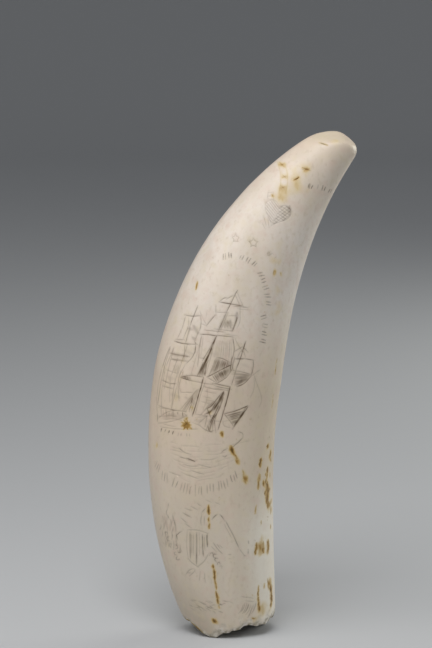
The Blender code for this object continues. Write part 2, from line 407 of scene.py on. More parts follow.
# Left mast with its two square sails, fainter.
lines(
    (0.46, 0.83, -17.8, 114.2, -19.2, 110.8, -20.3, 108.0),
    (0.36, 0.53, -20.3, 108.0, -22.0, 101.8), (0.36, 0.45, -22.2, 101.2, -22.5, 96.2),
    (0.36, 0.31, -23.4, 93.0, -26.9, 79.1), (0.45, 0.65, -22.3, 110.7, -19.6, 110.6, -16.9, 111.0),
    (0.36, 0.5, -21.9, 110.4, -22.8, 107.2), (0.42, 0.62, -17.0, 110.8, -16.8, 108.4, -17.3, 106.2),
    (0.36, 0.4, -22.8, 107.2, -24.6, 103.0), (0.36, 0.43, -20.9, 109.8, -21.2, 107.0, -22.6, 103.2),
    (0.36, 0.38, -20.2, 107.0, -21.6, 102.8), (0.36, 0.43, -17.6, 106.0, -18.8, 103.0),
    (0.52, 0.94, -25.6, 101.9, -23.2, 101.6, -20.4, 101.5),
    (0.42, 0.62, -20.4, 101.5, -18.2, 101.7), (0.36, 0.58, -25.2, 102.5, -22.3, 102.7),
    (0.7, 0.75, -18.9, 102.5, -18.5, 101.8), (0.5, 0.75, -18.6, 101.5, -18.8, 99.2),
    (0.42, 0.56, -18.8, 99.2, -20.0, 97.0, -21.8, 95.0),
    (0.46, 0.62, -27.2, 99.8, -28.6, 96.4, -29.8, 92.8), (0.36, 0.5, -26.0, 99.6, -28.4, 93.6),
    (0.36, 0.45, -24.6, 96.2, -26.8, 90.6), (0.36, 0.43, -22.0, 94.8, -24.4, 90.2),
    (0.36, 0.38, -30.0, 92.4, -31.2, 87.2, -31.7, 82.4),
    (0.36, 0.35, -28.8, 92.6, -30.0, 84.8, -30.2, 78.4), (0.36, 0.3, -27.0, 90.0, -27.4, 82.0),
    (0.6, 0.83, -31.6, 77.2, -31.5, 74.6), (0.36, 0.38, -31.9, 82.6, -31.6, 77.4),
    (0.36, 0.3, -16.9, 108.4, -15.3, 107.9), (0.36, 0.25, -14.9, 112.6, -15.2, 110.4),
    (0.4, 0.5, -27.0, 99.9, -29.6, 91.0, -31.5, 80.0),
    (0.36, 0.43, -25.8, 99.8, -27.6, 93.0, -29.2, 85.6),
    (0.36, 0.43, -21.3, 101.4, -23.0, 96.0, -24.8, 90.6),
    (0.42, 0.5, -30.0, 88.6, -27.4, 88.1, -24.9, 88.2), (0.36, 0.45, -29.8, 86.7, -26.4, 86.4),
    (0.4, 0.47, -31.0, 79.9, -26.4, 79.4, -21.6, 79.3), (0.36, 0.43, -24.5, 88.2, -24.1, 82.6),
    (0.36, 0.43, -28.6, 79.6, -28.4, 76.6), (0.36, 0.38, -26.2, 79.4, -26.0, 77.2),
    (0.36, 0.38, -24.0, 94.8, -26.0, 86.0, -26.6, 80.6), (0.36, 0.35, -22.6, 92.6, -24.4, 86.8),
    (0.36, 0.43, -27.4, 97.9, -20.6, 97.4), (0.36, 0.4, -27.0, 95.9, -21.2, 96.0),
    (0.36, 0.33, -28.4, 92.2, -24.6, 91.6), (0.4, 0.38, -16.0, 88.0, -12.6, 87.2, -9.6, 86.8),
    (0.36, 0.38, -15.8, 86.4, -12.0, 85.6), (0.36, 0.38, -15.9, 84.6, -13.4, 84.0),
    (0.36, 0.35, -14.2, 82.0, -16.4, 79.4), (0.36, 0.33, -16.6, 82.8, -14.4, 82.2),
    (0.42, 0.45, -14.8, 78.6, -15.6, 74.6),
)
rub(
    (2.4, 0.12, -28.6, 90.2, -25.4, 89.6), (3.0, 0.1, -27.6, 84.6, -24.0, 84.0),
    (3.2, 0.12, -21.8, 84.0, -18.6, 82.0), (2.6, 0.15, -15.4, 84.0, -12.4, 80.6),
    (3.0, 0.1, -22.6, 99.4, -19.6, 98.6), (3.4, 0.09, -14.6, 99.0, -10.4, 98.6),
    (3.0, 0.09, -3.8, 95.4, -1.4, 94.4), (2.6, 0.12, -27.6, 77.8, -20.6, 77.4),
    (1.3, 0.25, -26.6, 97.8, -20.8, 97.5), (1.0, 0.18, -26.4, 96.1, -21.4, 96.0),
    (1.5, 0.25, -19.6, 108.0, -17.6, 105.0), (1.2, 0.2, -21.4, 106.6, -19.4, 106.4),
    (1.1, 0.25, -20.0, 104.2, -18.2, 102.8), (1.4, 0.18, -24.4, 95.0, -25.6, 91.6),
)

# Right mast, its square sail dark along the foot, and its crow's nest.
lines(
    (0.55, 0.83, -2.1, 102.8, -3.1, 99.8), (0.46, 0.83, -3.1, 99.8, -3.6, 98.0, -5.0, 94.4),
    (0.38, 0.62, -5.0, 94.4, -6.8, 88.6), (0.58, 0.98, -7.2, 87.9, -8.4, 83.4, -9.5, 79.4),
    (0.5, 0.9, -9.5, 79.4, -11.2, 73.6),
    (0.36, 0.45, -4.7, 97.6, -3.9, 99.5, -2.9, 99.5, -2.3, 97.7),
    (0.36, 0.5, -5.8, 99.6, -3.2, 101.0), (0.36, 0.43, -3.0, 100.8, -1.4, 99.2),
    (0.52, 0.88, -5.6, 97.1, -2.4, 97.0), (0.46, 0.75, -2.4, 97.0, 0.4, 96.4),
    (0.46, 0.75, 0.3, 96.5, 0.4, 94.4, -0.3, 91.2), (0.5, 0.75, -5.0, 87.8, -2.6, 88.8, -0.3, 91.0),
    (0.4, 0.56, -6.6, 93.2, -3.4, 92.6, -0.4, 91.6), (0.36, 0.38, -0.3, 91.0, 2.4, 92.8),
    (0.36, 0.25, 1.0, 90.6, 0.6, 86.4, -0.6, 83.8), (0.4, 0.5, -6.6, 96.4, -6.2, 93.2),
)
hatch((-6.6, 92.8, -5.4, 88.2, -0.4, 91.4, -1.6, 89.8, 12, 0.42, 0.5))
rub((1.2, 0.28, -5.6, 88.6, -2.0, 90.2))

# Shrouds: a thick black band left of the right mast, and a fan of thinner ones by the main mast.
lines(
    (0.9, 0.98, -9.4, 86.4, -11.0, 83.4), (0.75, 0.98, -10.2, 84.2, -12.6, 80.2),
    (0.55, 0.75, -10.4, 85.4, -13.4, 81.6, -15.0, 80.6), (0.55, 0.88, -11.0, 81.8, -13.0, 77.4),
    (0.45, 0.69, -11.8, 82.8, -14.2, 78.8), (0.5, 0.81, -14.9, 80.6, -13.6, 77.6),
    (0.5, 0.75, -12.8, 78.2, -14.0, 75.4), (0.42, 0.5, -11.4, 79.8, -12.6, 75.6),
    (0.36, 0.45, -12.6, 83.2, -17.4, 78.0), (1.3, 0.8, -9.3, 86.0, -10.6, 82.8),
    (1.1, 0.7, -9.8, 84.6, -13.2, 80.0, -15.4, 78.8),
    (0.7, 0.7, -9.6, 84.2, -10.9, 80.6, -12.4, 77.6),
    (0.6, 0.55, -12.0, 78.6, -13.4, 75.8, -14.2, 73.2), (0.9, 0.5, -13.2, 80.2, -14.8, 79.0),
    (0.6, 0.6, -14.6, 75.0, -14.0, 73.0, -12.8, 73.2),
)
rub(
    (2.2, 0.24, -10.4, 84.0, -12.6, 79.6), (2.2, 0.12, -12.2, 78.8, -13.8, 73.8),
    (1.6, 0.1, -19.2, 84.8, -22.4, 79.6),
)
hatch(
    (-13.9, 77.0, -12.6, 77.2, -15.4, 72.9, -12.0, 72.5, 5, 0.36, 0.45),
    (-18.2, 87.0, -17.6, 87.0, -24.4, 79.2, -20.0, 79.0, 6, 0.34, 0.36),
)
lines(
    (0.5, 0.83, -19.6, 84.4, -20.0, 82.2), (0.4, 0.62, -20.2, 81.4, -20.8, 79.4),
    (0.75, 0.98, -24.6, 78.9, -24.6, 78.2), (0.5, 0.75, -23.0, 79.2, -22.8, 77.6),
    (0.4, 0.56, -22.4, 78.6, -21.6, 77.8),
)

# Jib, hull lines and the long stays.
lines(
    (0.5, 0.83, -9.2, 78.9, -5.4, 79.6, -1.4, 81.1),
    (1.1, 0.88, -2.4, 79.6, -4.2, 77.0, -5.8, 74.9), (0.42, 0.5, -1.6, 81.0, -2.8, 79.6),
    (0.42, 0.56, -9.2, 78.8, -7.8, 77.0, -6.2, 74.6),
    (0.36, 0.33, -9.6, 77.4, -9.4, 74.8, -7.0, 74.0), (0.36, 0.38, -31.0, 79.2, -25.4, 79.6),
    (0.36, 0.33, -31.2, 76.2, -27.6, 77.2, -24.9, 77.3), (0.36, 0.43, -18.4, 78.6, -14.9, 78.2),
    (0.36, 0.33, -17.8, 75.4, -14.8, 78.2), (0.38, 0.45, -4.6, 72.6, -3.1, 71.8, -3.0, 70.6),
    (0.42, 0.56, -3.3, 70.2, -4.6, 69.0, -6.8, 67.2), (0.36, 0.25, -29.6, 74.2, -25.2, 73.8),
    (0.36, 0.25, -9.6, 76.2, -6.8, 76.4), (0.36, 0.3, -5.0, 119.0, -2.9, 113.9),
    (0.36, 0.3, -5.8, 104.0, -3.4, 99.6), (0.36, 0.3, -12.2, 103.0, -16.6, 93.6),
    (0.36, 0.25, -0.4, 94.0, 3.0, 83.6, 2.4, 80.2),
    (0.36, 0.28, -16.6, 104.2, -19.4, 94.2, -20.0, 91.6), (0.36, 0.28, -17.3, 112.4, -15.2, 108.2),
    (0.7, 0.7, -1.3, 80.7, -3.6, 77.6, -6.4, 73.8), (0.5, 0.4, -2.6, 78.6, -5.6, 75.0),
)
rub((2.4, 0.2, -7.6, 77.6, -3.8, 78.6), (1.8, 0.22, -6.8, 75.6, -4.6, 76.4))
hatch(
    (-8.7, 78.5, -6.4, 75.2, -2.4, 79.8, -5.6, 75.4, 9, 0.5, 0.42),
    (-30.8, 79.0, -26.0, 79.2, -30.6, 76.4, -26.0, 77.2, 4, 0.25, 0.36),
)

# The hull, nearly worn away: a sheer line, a broken waterline and a few plank seams.
lines(
    (0.4, 0.36, -31.6, 75.4, -27.8, 78.6, -24.5, 79.4),
    (0.4, 0.3, -31.3, 74.0, -25.4, 76.0, -21.4, 78.0),
    (0.4, 0.34, -18.6, 77.5, -15.2, 77.9, -13.0, 78.3),
    (0.5, 0.4, -17.7, 75.2, -15.6, 73.6, -13.1, 72.5),
    (0.4, 0.26, -29.8, 75.6, -26.0, 76.4, -23.2, 76.2),
    (0.4, 0.26, -30.6, 73.0, -25.0, 73.2, -18.0, 73.6), (0.4, 0.24, -19.4, 75.6, -17.0, 74.8),
    (0.4, 0.3, -12.8, 76.6, -10.2, 76.2),
)
rub((2.6, 0.1, -30.0, 76.4, -24.6, 77.8), (2.4, 0.12, -19.0, 76.4, -13.6, 76.6))

# The sea under the ship: rows of short wavelets, fewer and fainter towards the sides.
SEA_ROWS, SEA_TOP, SEA_SPACING = 9, 68.4, 1.3
for row in range(SEA_ROWS):
    left, right = -29.0 + 0.5 * row, -7.5 - 0.4 * row
    sag = 0.7 + 0.2 * row
    at = left + chance.uniform(0, 2.5)
    while at < right:
        length = chance.uniform(2.0, 7.0)
        share = (np.array((at, at + length)) - left) / (right - left)
        dip = 4 * sag * share * (1 - share)
        height = SEA_TOP - SEA_SPACING * row - dip + chance.uniform(-0.45, 0.45)
        wave = bow((at, height[0]), (at + length, height[1]), chance.uniform(-0.6, 0.3))
        cut(wave, width=chance.uniform(0.34, 0.6), depth=0.05,
            ink=0.2 * (1 - 0.45 * share.mean()) * chance.uniform(0.35, 1.2))
        at += length + chance.uniform(0.2, 2.6)
lines(
    (0.6, 0.85, -21.7, 63.6, -20.2, 63.2, -18.9, 62.7), (0.42, 0.55, -23.9, 63.9, -22.0, 63.5),
    (0.45, 0.4, -24.2, 66.9, -22.4, 65.6, -20.4, 65.0),
    (0.45, 0.34, -22.8, 61.5, -20.2, 61.0, -17.6, 61.2), (0.45, 0.34, -17.8, 61.7, -13.4, 60.6),
    (0.45, 0.34, -27.2, 58.2, -23.4, 57.4), (0.45, 0.3, -22.0, 58.0, -17.6, 56.9),
    (0.4, 0.35, -20.4, 59.6, -16.0, 58.4), (0.46, 0.5, -10.3, 65.6, -9.6, 66.4, -8.4, 67.0),
    (0.5, 0.5, -9.8, 64.6, -8.9, 64.2, -8.5, 64.8),
)


def ticks(way, height, groups, ink, lean=0.15, gap=0.5, width=0.42, upright=0.0):
    """Row of ticks along a way, given as x, z, x, z and so on, in groups with gaps. A group is the
    count of its ticks: they stand nearly parallel and only differ in height, so the row has no
    letters in it."""
    path = through(pairs(way))
    reach = run_of(path)
    slots = sum(groups) + gap * 2 * (len(groups) - 1)
    place = 0.5
    for group in groups:
        slant = lean + chance.uniform(-0.2, 0.2)
        for _ in range(group):
            at = place / slots * reach[-1]
            foot, ahead = (np.array([np.interp(at + step, reach, path[:, axis]) for axis in (0, 1)])
                           for step in (0, 0.4))
            run = (ahead - foot) / np.hypot(*(ahead - foot))
            rise = np.array((-run[1], run[0])) * (1 - upright) + (0, upright)
            rise = rise + run * (slant + chance.uniform(-0.06, 0.06))
            size = height * chance.uniform(0.4, 1.0) ** 0.6
            start = foot + rise * (height - size) * chance.uniform(0, 1)
            cut([start, start + rise * size / 2, start + rise * size], width=width, depth=0.06,
                ink=ink * chance.uniform(0.6, 1.2), halo=0.3, taper=0.4)
            place += 1
        place += gap * 2


# Where words were cut, only rows of ticks: one in an arc below the sea, a tiny one under
# the stern, one arching over the ship and down its right side, one near the tip and a very short
# one by the third star.
ticks((-32.8, 59.0, -31.6, 56.8, -29.6, 55.1, -26.9, 53.5, -21.2, 51.4, -15.5, 51.5, -9.4, 53.2,
       -4.4, 56.8), 3.4, (3, 3, 2, 4, 3, 3, 4, 3), 0.5, lean=0.0, gap=0.4, width=0.55, upright=0.6)
ticks((-30.6, 71.9, -28.4, 71.7, -26.0, 71.3), 0.8, (1, 1, 1, 1), 0.95, gap=0.35, width=0.7)
ticks((-25.0, 71.1, -22.6, 71.0, -20.2, 71.0), 0.9, (2, 2), 0.4)
ticks((-10.0, 129.4, -8.4, 129.8, -6.6, 130.2), 1.5, (2, 2), 0.8, gap=0.3, width=0.5)
ticks((-4.6, 130.0, -1.9, 128.9, 0.9, 127.2), 1.5, (2, 2, 2), 0.8, gap=0.3, width=0.5)
ticks((1.4, 125.4, 2.8, 122.0, 3.7, 119.2, 4.5, 116.4, 4.7, 114.2), 1.7, (2, 2, 2, 2, 2), 0.8,
      gap=0.3, width=0.5)
ticks((2.8, 111.2, 3.4, 108.0, 3.2, 104.8, 2.6, 101.8), 1.7, (2, 2, 2, 2), 0.8, gap=0.3, width=0.5)
ticks((18.0, 152.6, 19.6, 152.2), 1.4, (2, 1), 0.95, gap=0.2, width=0.62)
ticks((21.0, 152.0, 23.4, 151.4, 26.2, 150.2), 1.4, (1, 2, 2), 0.8, width=0.62)
ticks((5.4, 131.2, 7.6, 129.6), 1.1, (1, 1), 0.4)

# Two little stars and a third nearly worn off: five points drawn with one line.
STAR_NOTCH, STAR_POINT = 0.62, 1.45
star_angle = np.radians(90 + 36 * np.arange(11))
star_reach = np.where(np.arange(11) % 2, STAR_NOTCH, STAR_POINT)
star = np.column_stack([np.cos(star_angle), np.sin(star_angle)]) * star_reach[:, None]
STARS = ((-5.5, 136.2, 1.0, 0.34), (0.3, 134.9, 1.12, 0.42), (5.4, 131.3, 0.5, 0.4))
for star_x, star_z, size, ink in STARS:
    cut(star * size + (star_x, star_z), width=0.36, ink=ink, stain=0.08, halo=0.9)
rub((1.2, 0.16, 5.0, 131.6, 5.8, 131.0))

# A heart, its left half ruled and its right half cross-ruled, and the linked ribbon it hangs from.
HEART_MIDDLE, HEART_TILT, HEART_SIZE = np.array((8.0, 144.6)), np.radians(-24), 4.5
SHORTEST_RULED = 0.12
bend = np.linspace(0, 2 * np.pi, 49)
lobes = 13 * np.cos(bend) - 5 * np.cos(2 * bend) - 2 * np.cos(3 * bend) - np.cos(4 * bend)
heart = np.column_stack([np.sin(bend) ** 3, lobes / 16])
tilt_cos, tilt_sin = np.cos(HEART_TILT), np.sin(HEART_TILT)
turned = np.array(((tilt_cos, tilt_sin), (-tilt_sin, tilt_cos)))


def on_heart(place):
    """The heart's own frame, made its size, turned and moved to its middle."""
    return HEART_MIDDLE + HEART_SIZE * np.asarray(place) @ turned


def ruled(outline, slope, spacing, side, **finish):
    """Parallel strokes inside one half of an outline: each line is cut where it crosses the outline,
    at two places or four, and is kept where its middle lies on the wanted side."""
    along = np.array((np.cos(slope), np.sin(slope)))
    across = np.array((-np.sin(slope), np.cos(slope)))
    half = np.clip(outline[:, :1] * side, 0.02, None) * side
    half = np.column_stack([half, outline[:, 1]])
    level = half @ across
    for line in np.arange(level.min() + spacing / 2, level.max(), spacing):
        crossing = np.flatnonzero((level[:-1] < line) != (level[1:] < line))
        share = (line - level[crossing]) / (level[crossing + 1] - level[crossing])
        spots = half[crossing] + (half[crossing + 1] - half[crossing]) * share[:, None]
        spots = np.sort(spots @ along)
        for start, end in zip(spots[::2], spots[1::2]):
            if end - start > SHORTEST_RULED:
                cut(on_heart([along * start + across * line, along * end + across * line]), **finish)


cut(on_heart(heart[2:23]), width=0.4, ink=0.3)
cut(on_heart(heart[27:46]), width=0.36, ink=0.18)
ruled(heart, np.radians(-28), 0.15, -1, width=0.34, ink=0.34)
ruled(heart, np.radians(-10), 0.19, 1, width=0.36, ink=0.42)
ruled(heart, np.radians(62), 0.21, 1, width=0.34, ink=0.36)
rub((1.2, 0.25, 12.2, 146.8, 12.2, 143.8))
lines(
    (0.36, 0.26, 3.6, 143.6, 4.6, 140.4), (0.36, 0.26, 5.0, 143.0, 5.4, 139.8),
    (0.36, 0.2, 3.0, 141.6, 4.2, 139.4),
)
ribbon = through(((9.6, 160.6), (10.4, 157.2), (10.4, 154.0), (9.8, 151.0)), steps=10)
RIBBON_HALF = 1.1
for side in (-RIBBON_HALF, RIBBON_HALF):
    cut(ribbon + (side, 0), width=0.4, depth=0.04, ink=0.1, stain=0.16, halo=0.9)
KNOTS = ((9.9, 159.9, 0.9, 0.3), (10.5, 156.2, 0.9, 0.26), (10.0, 152.8, 0.8, 0.22))
for knot_x, knot_z, size, strength in KNOTS:
    for slant in (-0.9, 0.6, 0.1):
        left, right = size * chance.uniform(0.5, 1.1, 2)
        cut([(knot_x - left, knot_z - slant * left), (knot_x + 0.1, knot_z),
             (knot_x + right, knot_z + slant * right)],
            width=0.55, depth=0.04, ink=0.12, stain=strength, halo=1.3)

# A tiny ruled square to the left of the ribbon.
lines(
    (0.36, 0.24, 5.2, 151.0, 6.8, 151.1), (0.36, 0.24, 5.0, 149.9, 6.6, 150.0),
    (0.36, 0.24, 5.4, 148.9, 7.0, 149.0), (0.36, 0.24, 5.2, 151.2, 5.0, 148.8),
    (0.36, 0.24, 6.8, 151.2, 6.9, 148.8),
)

# Low down, a striped shield between feathered sprays, with rays over it.
lines(
    (0.45, 0.33, -21.4, 38.9, -18.0, 39.0, -14.5, 38.0),
    (0.4, 0.25, -21.6, 38.6, -21.8, 33.0, -21.4, 29.0),
    (0.45, 0.38, -21.4, 28.8, -20.2, 27.4, -18.1, 26.0),
    (0.45, 0.38, -18.1, 26.0, -15.6, 28.6, -14.4, 31.0),
    (0.67, 0.45, -20.6, 38.0, -20.7, 33.0, -20.6, 28.6),
    (0.78, 0.58, -18.4, 38.2, -18.5, 32.0, -18.5, 27.0),
    (0.67, 0.62, -16.5, 37.4, -16.4, 33.4, -16.2, 30.0),
    (0.78, 0.75, -14.9, 38.0, -15.0, 36.0, -14.8, 33.4), (0.4, 0.3, -19.4, 37.8, -19.5, 30.0),
    (0.4, 0.25, -17.6, 38.4, -17.5, 30.4), (0.4, 0.38, -15.8, 37.2, -15.7, 32.0),
)
rub((1.0, 0.2, -20.2, 37.6, -20.2, 30.0))
lines(
    (0.56, 0.33, -20.2, 47.2, -18.2, 46.1), (0.56, 0.28, -22.4, 46.4, -20.0, 45.7),
    (0.67, 0.4, -23.0, 44.7, -20.3, 43.4), (0.56, 0.3, -23.6, 42.8, -21.6, 41.2),
    (0.5, 0.28, -22.2, 41.0, -20.4, 39.8), (0.56, 0.38, -16.7, 45.2, -15.5, 46.8),
    (0.47, 0.4, -16.6, 44.7, -17.0, 42.6, -16.9, 40.8), (0.47, 0.3, -15.8, 44.0, -15.9, 41.0),
    (0.45, 0.25, -18.2, 48.4, -16.8, 47.4), (0.45, 0.25, -15.2, 49.6, -13.4, 48.8),
    (0.45, 0.25, -12.4, 49.0, -10.6, 48.0), (0.52, 0.55, -27.8, 47.3, -27.9, 46.0),
    (0.47, 0.62, -25.9, 41.8, -25.6, 39.6), (0.4, 0.45, -25.6, 39.4, -25.4, 37.2),
    (0.62, 0.75, -25.3, 36.8, -25.0, 35.2), (0.47, 0.56, -25.2, 36.4, -24.2, 37.6, -23.4, 38.0),
    (0.4, 0.38, -28.0, 45.6, -28.6, 43.6, -27.6, 42.0), (0.45, 0.43, -26.4, 43.8, -26.2, 41.8),
    (0.45, 0.38, -29.4, 40.4, -29.4, 37.8), (0.45, 0.38, -28.4, 41.0, -28.4, 38.0),
    (0.45, 0.4, -27.0, 41.6, -27.1, 38.6), (0.45, 0.33, -29.0, 36.8, -28.6, 33.6),
)
FEATHERS = ((-30.2, -26.6, 42.4), (-30.4, -25.4, 39.4), (-30.0, -24.8, 36.4), (-29.0, -24.2, 33.6))
for left, right, top in FEATHERS:
    for feather_x in np.linspace(left, right, 6):
        start = np.array((feather_x + chance.uniform(-0.3, 0.3), top + chance.uniform(-0.8, 0.8)))
        reach = chance.uniform(-0.4, 0.5), chance.uniform(1.6, 3.0)
        cut(bow(start, start - reach, 0.15), width=0.42, ink=0.5 * chance.uniform(0.4, 1.1), halo=0.6)
CURLS = (
    # x, z, size, ink
    (-28.0, 34.6, 0.8, 0.42), (-27.2, 32.4, 0.7, 0.4), (-25.4, 32.2, 0.8, 0.5),
    (-24.4, 31.0, 0.8, 0.6), (-25.6, 29.8, 0.6, 0.5), (-24.9, 28.2, 0.7, 0.6),
    (-28.6, 36.4, 0.6, 0.3), (-13.3, 30.6, 0.7, 0.5), (-12.2, 30.2, 0.8, 0.6),
    (-11.8, 28.9, 0.7, 0.55), (-11.0, 27.5, 0.6, 0.45), (-10.2, 26.3, 0.5, 0.3),
)
opening = np.linspace(0.5, 1, 9)
for curl_x, curl_z, size, ink in CURLS:
    swing = np.radians(chance.uniform(0, 360) + np.linspace(0, 230, 9))
    across, up = size * np.cos(swing) * opening, size * np.sin(swing)
    cut(np.column_stack([curl_x + across, curl_z + up]), width=0.44, ink=1.2 * ink, halo=0.6)
lines(
    (0.67, 0.53, -13.3, 43.0, -12.4, 44.0, -11.5, 44.7),
    (0.62, 0.62, -10.6, 44.6, -9.8, 43.6, -9.2, 42.5),
    (0.56, 0.45, -8.7, 42.3, -6.4, 37.6, -4.4, 32.8), (0.45, 0.33, -4.2, 32.4, -2.4, 29.6),
    (0.4, 0.28, -9.2, 41.2, -6.8, 36.4), (0.47, 0.45, -12.8, 34.8, -11.4, 32.6, -9.8, 31.0),
    (0.45, 0.43, -11.6, 34.3, -10.6, 32.8), (0.4, 0.38, -10.8, 34.0, -9.8, 33.0),
    (0.45, 0.33, -13.4, 33.4, -12.0, 31.8), (0.56, 0.43, -7.8, 30.6, -6.9, 30.6),
    (0.5, 0.33, -7.6, 29.2, -7.0, 29.2), (0.5, 0.38, -2.8, 29.9, -2.0, 29.7),
    (0.47, 0.38, -22.2, 22.8, -20.8, 24.6, -19.4, 25.2),
    (0.47, 0.38, -20.6, 22.6, -19.4, 24.0, -18.9, 25.0), (0.4, 0.33, -21.6, 23.4, -20.4, 23.6),
    (0.4, 0.25, -17.2, 24.6, -17.6, 21.0), (0.4, 0.25, -15.8, 24.0, -15.6, 20.6),
    (0.6, 0.6, -1.2, 34.7, -1.1, 33.9), (0.6, 0.55, -1.2, 31.5, -1.2, 30.3),
)

# Ground under it: short crossing strokes on the left and a few thick slanting ones on the right.
GROUND_STROKES = 36
for _ in range(GROUND_STROKES):
    start = np.array((chance.uniform(-21.0, -9.0), chance.uniform(10.0, 13.8)))
    reach = chance.uniform(0.6, 1.9)
    rise = reach * chance.uniform(-0.9, 0.5)
    cut(bow(start, start + (reach, rise), 0.1), width=0.45,
        ink=0.42 * chance.uniform(0.3, 1.4) ** 1.5)
lines(
    (0.45, 0.4, -9.6, 14.2, -8.0, 13.8), (0.45, 0.34, -7.4, 13.8, -6.2, 13.2),
    (0.4, 0.28, -3.6, 15.5, 0.2, 14.4), (0.4, 0.26, -2.0, 13.8, 1.0, 13.0),
)
for shift, ink in zip(np.linspace(0, 1, 8), (0.4, 0.5, 0.34, 0.55, 0.36, 0.45, 0.26, 0.4)):
    start = np.array((-2.9 + 4.4 * shift, 12.4 + 0.6 * np.sin(7 * shift)))
    cut(bow(start, start - (1.4, 3.2 + chance.uniform(-1, 1)), 0.3), width=0.5, ink=ink)


# ---------------------------------------------------------------------------------------------
# Age. Drying has opened short splits along the grain, mostly down the right side. Dirt and oil
# have filled them dark brown and soaked into the ivory beside them as an ochre band.

BAND_PIECE, GASH = 1.4, 1.9


def split(top, base, band, core, strength, behind=False):
    """A split along the grain: a ragged ochre band with short dark gashes in it that nearly meet.
    Both are made of short pieces along the straight line, each swayed a little to one side."""
    way = base - top
    length = np.hypot(*way)
    parts = max(2, round(length / BAND_PIECE))
    for part in range(parts):
        shares = (part + np.array((-0.4, 1.4)) * chance.uniform(0.6, 1.1)) / parts
        sway = chance.uniform(-0.35, 0.35, 2) * band
        ends = [top + way * share + (side, 0) for share, side in zip(np.clip(shares, 0, 1), sway)]
        cut(bow(*ends), width=1.4 * band * chance.uniform(0.5, 1.2), depth=0.03, ink=0,
            stain=strength * chance.uniform(0.35, 0.75), halo=0.4 + 0.4 * band,
            taper=min(length / 2, 0.9), behind=behind)
    count = max(1, round(length / GASH))
    for part in range(count):
        from_part, to_part = part + chance.uniform(-0.1, 0.3), part + chance.uniform(0.65, 1.15)
        sway = chance.uniform(-0.3, 0.3) * np.array((band, 0))
        start, end = (top + way * reach / count + sway for reach in (from_part, to_part))
        cut(bow(start, end, chance.uniform(-0.15, 0.15)), width=0.8 * core * chance.uniform(0.5, 1.6),
            depth=0.25, ink=0.1 * strength, stain=strength * chance.uniform(0.7, 1.0), halo=0.35,
            taper=0.8, behind=behind)


def blotch(place, reach, strength, count):
    """Stain that has soaked in from a knot of tiny pits, scattered normally about a place."""
    for _ in range(count):
        start = np.array(place) + chance.normal(0, reach * 0.35, 2)
        cut([start, start + chance.uniform(-0.5, 0.5, 2) + (0.05, 0.5)], width=0.5, depth=0.05, ink=0,
            stain=strength * chance.uniform(0.4, 0.8), halo=reach * chance.uniform(0.6, 1.1))


